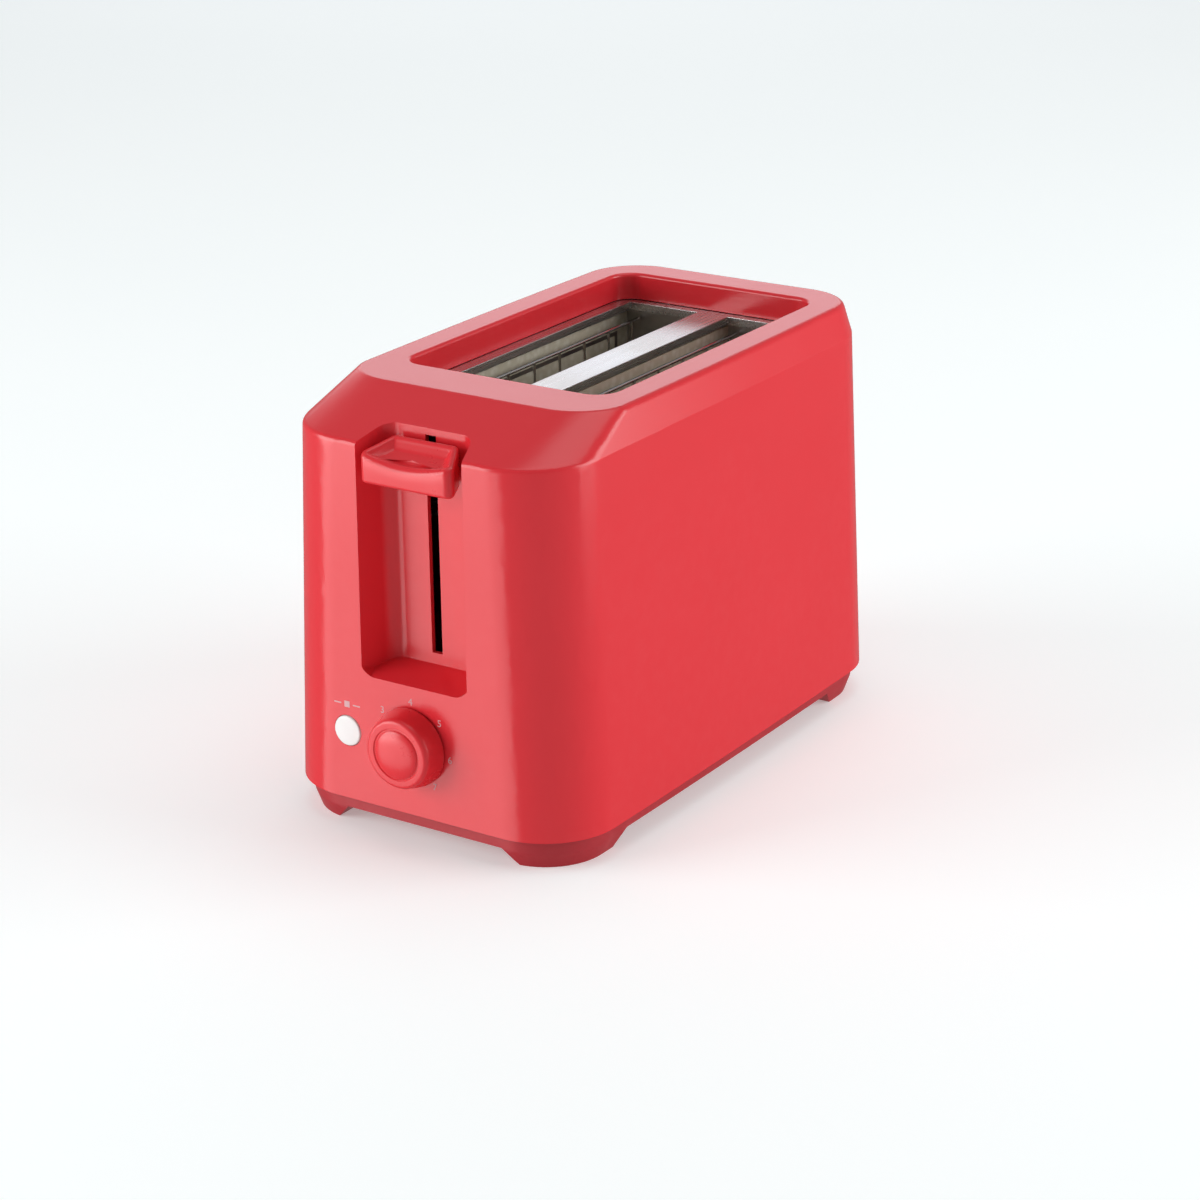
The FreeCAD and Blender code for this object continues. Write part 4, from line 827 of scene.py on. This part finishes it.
@dataclass
class Casing:
    """Housing, base, tray handle and cord entry."""

    edge: float = 0.9 * MM
    edge_segments: int = 3
    base_edge: float = 0.7 * MM
    trim_edge: float = 0.35 * MM
    rim: float = 1.9 * MM
    rim_segments: int = 5
    mouth_beside: float = 4.0 * MM
    mouth_behind: float = 2.5 * MM
    mouth_below: float = 80.0 * MM
    slot_half: float = 2.7 * MM
    slot_above: float = 9.0 * MM

    def on_recess_rim(self, middle: Vector) -> bool:
        """Says whether an edge lies on the mouth of the lever recess, between its upright sides.

        Args:
            middle: the edge's middle.

        Returns:
            True on the mouth's edge, away from the lever's slot.
        """
        low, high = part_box("lever")
        arm_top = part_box("carriage_bracket")[1].z
        beside = abs(middle.x) < high.x + self.mouth_beside
        ahead = middle.y < high.y + self.mouth_behind
        above = middle.z > low.z - (high.z - low.z) - self.mouth_below
        in_slot = abs(middle.x) < self.slot_half and middle.z < arm_top + self.slot_above
        return beside and ahead and above and not in_slot

    def build(self) -> None:
        """Makes the casing's pieces."""
        body = Body.APPLIANCE.value
        mouth = Easing(self.rim, self.rim_segments, self.on_recess_rim)
        others = Easing(self.edge, self.edge_segments, lambda middle: not self.on_recess_rim(middle))
        shell = eased_copy("housing", mouth, others)
        base = eased_copy("base", Easing(self.base_edge))
        grip = eased_copy("tray_handle", Easing(self.trim_edge))
        bush = eased_copy("cord_gland", Easing(self.trim_edge))
        piece("housing_shell", shell, RED_SHELL, body, ["housing"])
        piece("base_moulding", base, RED_BASE, body, ["base"])
        piece("tray_grip", grip, RED_BASE, Body.TRAY.value, ["tray_handle"])
        piece("cord_bush", bush, BLACK_PLASTIC, body, ["cord_gland"])


@dataclass
class LeverCap:
    """The lever's cap: a thumb tray with a thick rim, a dished middle and a front lip that dips."""

    nose: float = 2.0 * MM
    nose_length: float = 2.8 * MM
    back_half: float = 15.6 * MM
    corner: float = 3.2 * MM
    least_corner: float = 0.5 * MM
    round: float = 1.5 * MM
    lip_round: float = 1.2 * MM
    foot_inset: float = 3.0 * MM
    rim: float = 1.9 * MM
    slope: float = 2.6 * MM
    floor_band: float = 0.5 * MM
    dish: float = 3.4 * MM
    lip_share: float = 0.15
    deepening: float = 1.3
    headroom: float = 0.2 * MM
    rise: float = 5.6 * MM
    lip_dip: float = 3.4 * MM
    dip_reach: float = 0.86
    dip_power: float = 1.1
    dip_fade: float = 1.5
    round_steps: int = 4
    slope_steps: int = 5
    corner_steps: int = 6
    side_steps: int = 9

    def corners(self, inset: float) -> list[Vector]:
        """Corners of the plan, drawn in by an even distance.

        Args:
            inset: the distance.

        Returns:
            The corners, anticlockwise from the front left.
        """
        low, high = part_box("lever")
        wide, cheek = high.x, low.y + self.nose_length
        ring = [Vector((-wide + self.nose, low.y)), Vector((wide - self.nose, low.y)), Vector((wide, cheek)),
                Vector((self.back_half, high.y)), Vector((-self.back_half, high.y)), Vector((-wide, cheek))]
        moved = []
        for index, corner in enumerate(ring):
            into = (corner - ring[index - 1]).normalized()
            out = (ring[(index + 1) % len(ring)] - corner).normalized()
            inward = Vector((-into.y, into.x)) + Vector((-out.y, out.x))
            moved.append(corner + inward * inset / (1.0 + into.dot(out)))
        return moved

    def outline(self, inset: float) -> list[Vector]:
        """Plan with rounded corners, always with the same number of points.

        Args:
            inset: how far it is drawn in.

        Returns:
            The points, anticlockwise.
        """
        ring = self.corners(inset)
        radius = max(self.corner - 0.5 * inset, self.least_corner)
        room = 0.45
        points: list[Vector] = []
        for index, corner in enumerate(ring):
            before, after = ring[index - 1], ring[(index + 1) % len(ring)]
            into, out = (corner - before).normalized(), (after - corner).normalized()
            reach = min(radius * math.tan(into.angle(out) / 2), room * (corner - before).length,
                        room * (after - corner).length)
            start, end = corner - into * reach, corner + out * reach
            if points:
                last = points[-1]
                points += [last.lerp(start, step / self.side_steps) for step in range(1, self.side_steps)]
            for step in range(self.corner_steps + 1):
                share = step / self.corner_steps
                points.append(start.lerp(corner, share).lerp(corner.lerp(end, share), share))
        first, last = points[0], points[-1]
        points += [last.lerp(first, step / self.side_steps) for step in range(1, self.side_steps)]
        return points

    @staticmethod
    def back_share(point: Vector) -> float:
        """How far back a point lies: 0 at the cap's front, 1 at its back."""
        low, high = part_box("lever")
        return (point.y - low.y) / (high.y - low.y)

    def top(self, point: Vector) -> float:
        """Height of the rim over a point of the plan.

        Args:
            point: x and y.

        Returns:
            The height.
        """
        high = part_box("lever")[1]
        back = self.back_share(point)
        middle = max(0.0, 1.0 - (point.x / (self.dip_reach * high.x)) ** 2) ** self.dip_power
        front = max(0.0, 1.0 - self.dip_fade * back)
        return high.z - self.headroom - self.rise * (1.0 - back) - self.lip_dip * middle * front

    def dished(self, point: Vector, fall: float) -> float:
        """Height of the dish over a point of the plan; it is shallow behind the dipped lip.

        Args:
            point: x and y.
            fall: how much of the way down to the dish's floor this is.

        Returns:
            The height.
        """
        deep = self.lip_share + (1.0 - self.lip_share) * min(1.0, self.deepening * self.back_share(point))
        return self.top(point) - self.lip_round - (self.dish - self.lip_round) * fall * deep

    def layers(self) -> list[tuple[float, Callable[[Vector], float]]]:
        """Lists the stacked plans, from the underside over the rim to the dish.

        Returns:
            How far each plan is drawn in, and what gives the height over its points.
        """
        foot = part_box("lever")[0].z
        quarter = [math.pi / 2 * step / self.round_steps for step in range(self.round_steps + 1)]
        inner = self.rim + self.lip_round
        stack: list[tuple[float, Callable[[Vector], float]]] = [(self.foot_inset, lambda p: foot)]
        stack += [(self.round * (1 - math.sin(a)), lambda p, a=a: foot + self.round * (1 - math.cos(a)))
                  for a in quarter]
        stack += [(self.round * (1 - math.cos(a)),
                   lambda p, a=a: self.top(p) - self.round * (1 - math.sin(a))) for a in quarter]
        stack += [(self.rim + self.lip_round * math.sin(a),
                   lambda p, a=a: self.top(p) - self.lip_round * (1 - math.cos(a))) for a in quarter[:-1]]
        for step in range(1, self.slope_steps + 1):
            share = step / self.slope_steps
            fall = 0.5 - 0.5 * math.cos(share * math.pi)
            stack.append((inner + self.slope * share, lambda p, fall=fall: self.dished(p, fall)))
        stack.append((inner + self.slope + self.floor_band, lambda p: self.dished(p, 1.0)))
        return stack

    def build(self) -> None:
        """Makes the cap by joining the stacked plans."""
        work = bmesh.new()
        rings = [[work.verts.new((p.x, p.y, height(p))) for p in self.outline(inset)]
                 for inset, height in self.layers()]
        count = len(rings[0])
        for lower, upper in zip(rings, rings[1:]):
            for step in range(count):
                after = (step + 1) % count
                work.faces.new((lower[step], lower[after], upper[after], upper[step]))
        for ring in (rings[0], rings[-1]):
            centre = work.verts.new(sum((v.co for v in ring), Vector()) / count)
            for step in range(count):
                work.faces.new((ring[step], ring[(step + 1) % count], centre))
        bmesh.ops.recalc_face_normals(work, faces=work.faces)
        mesh = bpy.data.meshes.new("lever_cap")
        work.to_mesh(mesh)
        work.free()
        crisp(mesh, 50.0)
        piece("lever_cap", mesh, RED_CONTROL, Body.CARRIAGE.value, ["lever"])


def rounded(radius: float, y: float, size: float, steps: int = 6) -> list[tuple[float, float]]:
    """Profile points of a quarter round that ends a cylinder's side at its front.

    Args:
        radius: the cylinder's radius.
        y: where the round starts; it ends at y - size.
        size: the round's own radius.
        steps: spans of the round.

    Returns:
        Radius and y of each point, the one on the cylinder's side first.
    """
    turns = [math.pi / 2 * step / steps for step in range(steps + 1)]
    return [(radius - size + size * math.cos(turn), y - size * math.sin(turn)) for turn in turns]


@dataclass
class Dial:
    """Browning dial: skirt, face ring, groove and domed centre."""

    back_ease: float = 0.4 * MM
    skirt_length: float = 2.0 * MM
    skirt_draft: float = 0.1 * MM
    face_step: float = 2.0 * MM
    face_round: float = 1.6 * MM
    foot_flare: float = 0.35 * MM
    side_flare: float = 0.2 * MM
    foot_length: float = 2.4 * MM
    ring_back: float = 1.5 * MM
    dome_share: float = 0.62
    groove: float = 0.45 * MM
    groove_ease: float = 0.05 * MM
    groove_deep: float = 0.5 * MM
    sill: float = 0.4 * MM
    dome_steps: int = 12

    def build(self) -> None:
        """Turns the dial."""
        low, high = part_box("browning_dial")
        base = (high.z - low.z) / 2
        face = base - self.face_step
        dome = base * self.dome_share
        ring = low.y + self.ring_back
        profile = [(0.0, high.y), (base - self.back_ease, high.y), (base, high.y - self.back_ease),
                   (base - self.skirt_draft, high.y - self.skirt_length),
                   (face + self.foot_flare, ring + self.foot_length)]
        side, *front = rounded(face, ring + self.face_round, self.face_round)
        profile += [(side[0] + self.side_flare, side[1]), *front]
        profile += [(dome + 2 * self.groove, ring + self.groove_ease),
                    (dome + self.groove, ring + self.groove_deep), (dome, ring + self.groove)]
        for step in range(1, self.dome_steps + 1):
            turn = math.pi / 2 * step / self.dome_steps
            fall = (self.ring_back + self.sill) * math.sin(turn)
            profile.append((dome * math.cos(turn), ring + self.sill - fall))
        piece("dial_cap", turned(profile, (low + high) / 2), RED_CONTROL, Body.DIAL.value,
              ["browning_dial"])


@dataclass
class StopButton:
    """White stop button: a stem, a flange behind the wall and a crowned cap."""

    stem: float = 2.2 * MM
    flange_step: float = 1.8 * MM
    flange_back: float = 3.55 * MM
    flange_thick: float = 1.5 * MM
    crown: float = 1.0 * MM
    crown_round: float = 0.7 * MM
    crown_rise: float = 0.12 * MM
    steps: int = 64

    def build(self) -> None:
        """Turns the button."""
        low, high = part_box("stop_button")
        flange = (high.z - low.z) / 2
        cap = flange - self.flange_step
        shoulder = low.y + self.flange_back
        behind = shoulder + self.flange_thick
        profile = [(0.0, high.y), (self.stem, high.y), (self.stem, behind), (flange, behind),
                   (flange, shoulder), (cap, shoulder)]
        profile += rounded(cap, low.y + self.crown, self.crown_round)
        profile += [(cap * 0.5, low.y + self.crown_rise), (0.0, low.y)]
        piece("stop_cap", turned(profile, (low + high) / 2, self.steps), WHITE_CAP, Body.BUTTON.value,
              ["stop_button"])


@dataclass
class Print:
    """Printed marks on the front wall: the browning numbers and the stop mark."""

    numbers: int = 7
    ring_radius: float = 19.3 * MM
    number_height: float = 3.1 * MM
    text_scale: float = 1.38
    step_angle: float = 48.0
    thick: float = 0.07 * MM
    sunk: float = 0.02 * MM
    ahead: float = -1.0
    square: float = 2.7 * MM
    rule_thick: float = 0.56 * MM
    rule_start: float = 3.0 * MM
    rule_end: float = 6.6 * MM
    mark_gap: float = 3.4 * MM

    def on_front(self, wall: Wall, mesh: bpy.types.Mesh, x: float, z: float) -> None:
        """Lays a flat mesh, drawn in X and Y and pulled up along Z, on the front wall.

        Args:
            wall: the housing's surface.
            mesh: the flat mesh; it is changed.
            x: where its middle goes.
            z: the same.
        """
        for vertex in mesh.vertices:
            across, up, lift = vertex.co
            spot = wall.along(Vector((x + across, self.ahead, z + up)), Vector((0, 1, 0)))
            vertex.co = (x + across, spot.y + self.sunk - max(lift, 0.0), z + up)

    def numerals(self, wall: Wall) -> None:
        """Prints the browning numbers round the dial.

        Args:
            wall: the housing's surface.
        """
        low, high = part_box("browning_dial")
        centre = (low + high) / 2
        upright = (self.numbers + 1) // 2
        for number in range(1, self.numbers + 1):
            turn = math.radians(90.0 - self.step_angle * (number - upright))
            text = bpy.data.curves.new(f"numeral_{number}", "FONT")
            text.body = str(number)
            text.size = self.number_height * self.text_scale
            text.align_x = "CENTER"
            text.align_y = "CENTER"
            text.extrude = self.thick
            holder = bpy.data.objects.new("numeral", text)
            bpy.context.scene.collection.objects.link(holder)
            shown = holder.evaluated_get(bpy.context.evaluated_depsgraph_get())
            mesh = bpy.data.meshes.new_from_object(shown)
            bpy.data.objects.remove(holder)
            self.on_front(wall, mesh, centre.x + self.ring_radius * math.cos(turn),
                          centre.z + self.ring_radius * math.sin(turn))
            piece(f"numeral_{number}", mesh, PRINT, Body.APPLIANCE.value)

    def stop_mark(self, wall: Wall) -> None:
        """Prints a plain stop square between two short rules over the button.

        Args:
            wall: the housing's surface.
        """
        low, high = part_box("stop_button")
        work = bmesh.new()
        half = self.square / 2
        for start, end, tall in ((-half, half, self.square),
                                 (-self.rule_end, -self.rule_start, self.rule_thick),
                                 (self.rule_start, self.rule_end, self.rule_thick)):
            for vertex in bmesh.ops.create_cube(work, size=1.0)["verts"]:
                vertex.co = ((start + end) / 2 + vertex.co.x * (end - start), vertex.co.y * tall,
                             vertex.co.z * 2 * self.thick)
        mesh = bpy.data.meshes.new("stop_mark")
        work.to_mesh(mesh)
        work.free()
        self.on_front(wall, mesh, (low.x + high.x) / 2, high.z + self.mark_gap)
        piece("stop_mark", mesh, PRINT, Body.APPLIANCE.value)

    def build(self, wall: Wall) -> None:
        """Prints all of the marks.

        Args:
            wall: the housing's surface.
        """
        self.numerals(wall)
        self.stop_mark(wall)


@dataclass
class Carriage:
    """Return spring round the guide rod; the rest of the carriage keeps the frame's shapes."""

    wire: float = 0.45 * MM
    turns: float = 12.0

    def build(self) -> None:
        """Makes the spring as one fixed coil on the appliance."""
        low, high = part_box("return_spring")
        centre = (low + high) / 2
        radius = (high.x - low.x) / 2 - self.wire
        number = "NodeSocketFloat"
        bench = GeometryBench("spring_coil", {"Turns": (number, 12.0), "Radius": (number, 0.004),
                                              "Height": (number, 0.1), "Wire": (number, 0.0005)})
        coil = bench.add("GeometryNodeCurveSpiral")
        coil.inputs["Resolution"].default_value = 28
        bench.join(bench.given.outputs["Turns"], coil.inputs["Rotations"])
        bench.join(bench.given.outputs["Radius"], coil.inputs["Start Radius"])
        bench.join(bench.given.outputs["Radius"], coil.inputs["End Radius"])
        bench.join(bench.given.outputs["Height"], coil.inputs["Height"])
        bench.shapes.append(bench.swept(coil.outputs["Curve"], bench.given.outputs["Wire"], 8))
        tree = bench.close(CHROME_WIRE)
        mesh = from_nodes("spring", tree, {"Turns": self.turns, "Radius": radius,
                                           "Height": high.z - low.z - 2 * self.wire, "Wire": self.wire})
        mesh.transform(Matrix.Translation((centre.x, centre.y, low.z + self.wire)))
        spring = piece("spring_coil", mesh, CHROME_WIRE, Body.APPLIANCE.value,
                       ["return_spring"])
        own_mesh(spring)


@dataclass
class BreadGuards:
    """Four wire grilles that hold the slices upright."""

    wires: int = 9
    bar: float = 0.8 * MM
    wire: float = 0.65 * MM
    end_gap: float = 1.0 * MM
    first: float = 6.0 * MM

    def tree(self) -> bpy.types.NodeTree:
        """Builds the grille: hinge bar, top bar and a row of uprights.

        Returns:
            The geometry tree.
        """
        number = "NodeSocketFloat"
        bench = GeometryBench("guard_grille", {
            "Count": ("NodeSocketInt", 9), "First": (number, 0.0), "Pitch": (number, 0.02),
            "Height": (number, 0.12), "Hinge Start": (number, 0.0), "Hinge End": (number, 0.1),
            "Bar Start": (number, 0.0), "Bar End": (number, 0.1), "Bar Radius": (number, 0.0008),
            "Wire Radius": (number, 0.0006)})
        given = bench.given.outputs
        hinge = (bench.vector(y=given["Hinge Start"]), bench.vector(y=given["Hinge End"]))
        bar = (bench.vector(y=given["Bar Start"], z=given["Height"]),
               bench.vector(y=given["Bar End"], z=given["Height"]))
        for start, end in (hinge, bar):
            bench.shapes.append(bench.wire(start, end, given["Bar Radius"], 12))
        upright = bench.wire(bench.vector(), bench.vector(z=given["Height"]), given["Wire Radius"], 10)
        bench.shapes.append(bench.row(upright, given["Count"], bench.vector(y=given["First"]),
                                      bench.vector(y=given["Pitch"])))
        return bench.close(CHROME_WIRE)

    def build(self) -> None:
        """Makes the four grilles."""
        tree = self.tree()
        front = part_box("front_end_plate")[1].y
        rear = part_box("rear_end_plate")[0].y
        first = front + self.end_gap + self.first
        last = rear - self.end_gap - self.first
        for side in Side:
            node = f"bread_guard_{side.value}"
            low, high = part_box(node)
            mesh = from_nodes(node, tree, {
                "Count": self.wires, "First": first, "Pitch": (last - first) / (self.wires - 1),
                "Height": high.z - low.z - 2 * self.bar, "Hinge Start": low.y, "Hinge End": high.y,
                "Bar Start": front + self.end_gap, "Bar End": rear - self.end_gap, "Bar Radius": self.bar,
                "Wire Radius": self.wire})
            mesh.transform(Matrix.Translation(((low.x + high.x) / 2, 0.0, low.z + self.bar)))
            piece(f"grille_{side.value}", mesh, CHROME_WIRE, f"guard_{side.value}", [node])


@dataclass
class Chassis:
    """Top plate with its folded edges eased."""

    sheet_ease: float = 0.22 * MM

    def build(self) -> None:
        """Makes the plate that shows through the opening."""
        plate = eased_copy("slot_plate", Easing(self.sheet_ease))
        piece("slot_plate_pressing", plate, BRIGHT_SHEET, Body.APPLIANCE.value,
              ["slot_plate"])


@dataclass
class FrameFinishes:
    """Finishes for the frame nodes that keep their own shape."""

    smooth_angle: float = 35.0
    finishes: dict[str, Finish] = field(default_factory=lambda: {
        "red_shell": RED_SHELL, "red_lever": RED_CONTROL, "red_base": RED_BASE, "white_button": WHITE_CAP,
        "bright_sheet": BRIGHT_SHEET, "steel_sheet": STEEL_SHEET, "guard_wire": CHROME_WIRE,
        "rod_steel": CHROME_WIRE, "screw_steel": SCREW_STEEL, "spring_steel": CHROME_WIRE, "mica": MICA,
        "heater_alloy": HEATER, "board": LAMINATE, "black_plastic": BLACK_PLASTIC, "rubber": RUBBER,
        "coil_copper": COPPER, "core_iron": IRON, "brass": BRASS, "ceramic": CERAMIC, "lead_sleeve": SLEEVE})

    def smoother(self) -> bpy.types.NodeTree:
        """Builds a tree that joins a node's loose triangles and shades it smooth up to an angle.

        Returns:
            The geometry tree.
        """
        tree = bpy.data.node_groups.new("joined_and_smooth", "GeometryNodeTree")
        tree.interface.new_socket("Geometry", in_out="INPUT", socket_type="NodeSocketGeometry")
        angle = tree.interface.new_socket("Angle", in_out="INPUT", socket_type="NodeSocketFloat")
        angle.default_value = math.radians(self.smooth_angle)
        tree.interface.new_socket("Geometry", in_out="OUTPUT", socket_type="NodeSocketGeometry")
        bench = NodeBench(tree)
        given = bench.add("NodeGroupInput")
        weld = bench.add("GeometryNodeMergeByDistance")
        weld.inputs["Distance"].default_value = WELD
        bench.join(given.outputs["Geometry"], weld.inputs["Geometry"])
        faces = bench.add("GeometryNodeSetShadeSmooth", domain="FACE")
        bench.join(weld.outputs["Geometry"], faces.inputs["Geometry"])
        meeting = bench.add("GeometryNodeInputMeshEdgeAngle")
        under = bench.add("FunctionNodeCompare", data_type="FLOAT", operation="LESS_THAN")
        bench.join(meeting.outputs["Unsigned Angle"], under.inputs["A"])
        bench.join(given.outputs["Angle"], under.inputs["B"])
        edges = bench.add("GeometryNodeSetShadeSmooth", domain="EDGE")
        bench.join(faces.outputs["Geometry"], edges.inputs["Geometry"])
        bench.join(under.outputs["Result"], edges.inputs["Shade Smooth"])
        out = bench.add("NodeGroupOutput")
        bench.join(edges.outputs["Geometry"], out.inputs["Geometry"])
        return tree

    def build(self) -> None:
        """Dresses every frame node by its slot."""
        slots = {part["node"]: part["material_slot"] for part in frame["record"]["subparts"]}
        tree = self.smoother()
        for name, node in frame["nodes"].items():
            node.data.materials.clear()
            node.data.materials.append(self.finishes[slots[name]].material())
            if not node.hide_render:
                modifier = node.modifiers.new("smooth", "NODES")
                modifier.node_group = tree


# ---------------------------------------------------------------- stage, light and camera


@dataclass(frozen=True)
class Card:
    """One soft card of light: where its middle is, its width and height, and its power in watts."""

    name: str
    place: tuple[float, float, float]
    size: tuple[float, float]
    power: float
    tint: Colour = (1.0, 1.0, 1.0)

    def hang(self, target: Vector) -> None:
        """Hangs the card so that it faces a point.

        Args:
            target: the point.
        """
        data = bpy.data.lights.new(self.name, "AREA")
        data.shape = "RECTANGLE"
        data.size, data.size_y = self.size
        data.energy = self.power
        data.color = self.tint
        lamp = bpy.data.objects.new(self.name, data)
        place = Vector(self.place)
        turn = (target - place).to_track_quat("-Z", "Y").to_matrix().to_4x4()
        lamp.matrix_world = Matrix.Translation(place) @ turn
        bpy.context.scene.collection.objects.link(lamp)


CARDS = (
    Card("front_left_card", (-1.5, -1.5, 0.45), (1.5, 1.7), 43.0),
    Card("right_rear_card", (1.9, 1.0, 0.5), (1.6, 1.8), 40.0),
    Card("rear_left_card", (-1.5, 2.2, 1.0), (2.2, 1.0), 9.0, (0.93, 0.95, 1.0)),
    Card("top_card", (0.2, 0.4, 2.4), (1.8, 1.8), 14.0),
    Card("sheen_card", (-0.9, -1.42, -0.45), (1.5, 0.85), 11.0),
)


@dataclass
class Studio:
    """Pale floor, soft cards of light and the camera."""

    azimuth: float = 33.27
    elevation: float = 20.54
    roll: float = -0.692
    distance: float = 1.36185
    beside: float = -0.00261
    below: float = -0.06155
    centre_y: float = 4.5 * MM
    lens: float = 91.58
    sensor: float = 36.0
    far: float = 50.0
    floor_half: float = 6.0
    floor_glow: float = 0.29
    floor_tones: tuple[Colour, Colour] = ((0.81, 0.86, 0.86), (0.79, 0.845, 0.85))
    target_height: float = 0.08
    room_light: float = 0.28

    def camera(self) -> None:
        """Places the camera; its view is turned about the foot of the housing's middle."""
        azimuth, elevation, roll = (math.radians(v) for v in (self.azimuth, self.elevation, self.roll))
        right = Vector((math.cos(azimuth), math.sin(azimuth), 0.0))
        forward = Vector((-math.sin(azimuth) * math.cos(elevation), math.cos(azimuth) * math.cos(elevation),
                          -math.sin(elevation)))
        up = right.cross(forward)
        tilted_right = right * math.cos(roll) + up * math.sin(roll)
        tilted_up = tilted_right.cross(forward)
        place = (Vector((0.0, self.centre_y, 0.0)) - tilted_right * self.beside - tilted_up * self.below
                 - forward * self.distance)
        data = bpy.data.cameras.new("camera")
        data.lens = self.lens
        data.sensor_width = self.sensor
        data.clip_end = self.far
        eye = bpy.data.objects.new("camera", data)
        axes = Matrix((tilted_right, tilted_up, -forward)).transposed()
        eye.matrix_world = Matrix.Translation(place) @ axes.to_4x4()
        bpy.context.scene.collection.objects.link(eye)
        bpy.context.scene.camera = eye

    def floor(self) -> None:
        """Lays a wide pale floor."""
        work = bmesh.new()
        bmesh.ops.create_grid(work, x_segments=2, y_segments=2, size=self.floor_half)
        mesh = bpy.data.meshes.new("floor")
        work.to_mesh(mesh)
        work.free()
        paint = bpy.data.materials.new("floor_paint")
        paint.use_nodes = True
        bench = NodeBench(paint.node_tree)
        shader = paint.node_tree.nodes["Principled BSDF"]
        place = bench.add("ShaderNodeTexCoord")
        patch = bench.add("ShaderNodeTexNoise")
        patch.inputs["Scale"].default_value = 3.0
        bench.join(place.outputs["Object"], patch.inputs["Vector"])
        bench.join(bench.blend(patch.outputs["Fac"], *self.floor_tones), shader.inputs["Base Color"])
        shader.inputs["Roughness"].default_value = 0.85
        shader.inputs["Specular IOR Level"].default_value = 0.1
        shader.inputs["Emission Color"].default_value = (1.0, 1.0, 1.0, 1.0)
        shader.inputs["Emission Strength"].default_value = self.floor_glow
        mesh.materials.append(paint)
        ground = bpy.data.objects.new("floor", mesh)
        bpy.context.scene.collection.objects.link(ground)
        ground.visible_glossy = False

    def light(self) -> None:
        """Hangs the cards and sets the room's even light."""
        for card in CARDS:
            card.hang(Vector((0.0, 0.0, self.target_height)))
        world = bpy.data.worlds.new("room")
        world.use_nodes = True
        background = world.node_tree.nodes["Background"]
        background.inputs["Color"].default_value = (1.0, 1.0, 1.0, 1.0)
        background.inputs["Strength"].default_value = self.room_light
        bpy.context.scene.world = world
        bpy.context.scene.view_settings.view_transform = "Standard"

    def build(self) -> None:
        """Sets the whole stage."""
        self.camera()
        self.floor()
        self.light()


def main() -> None:
    """Builds every sub-assembly in order."""
    logging.basicConfig(level=logging.INFO, format="%(name)s %(message)s")
    Studio().build()
    wall = Wall()
    Casing().build()
    LeverCap().build()
    Dial().build()
    StopButton().build()
    Print().build(wall)
    Carriage().build()
    BreadGuards().build()
    Chassis().build()
    FrameFinishes().build()


if __name__ == "__main__":
    main()
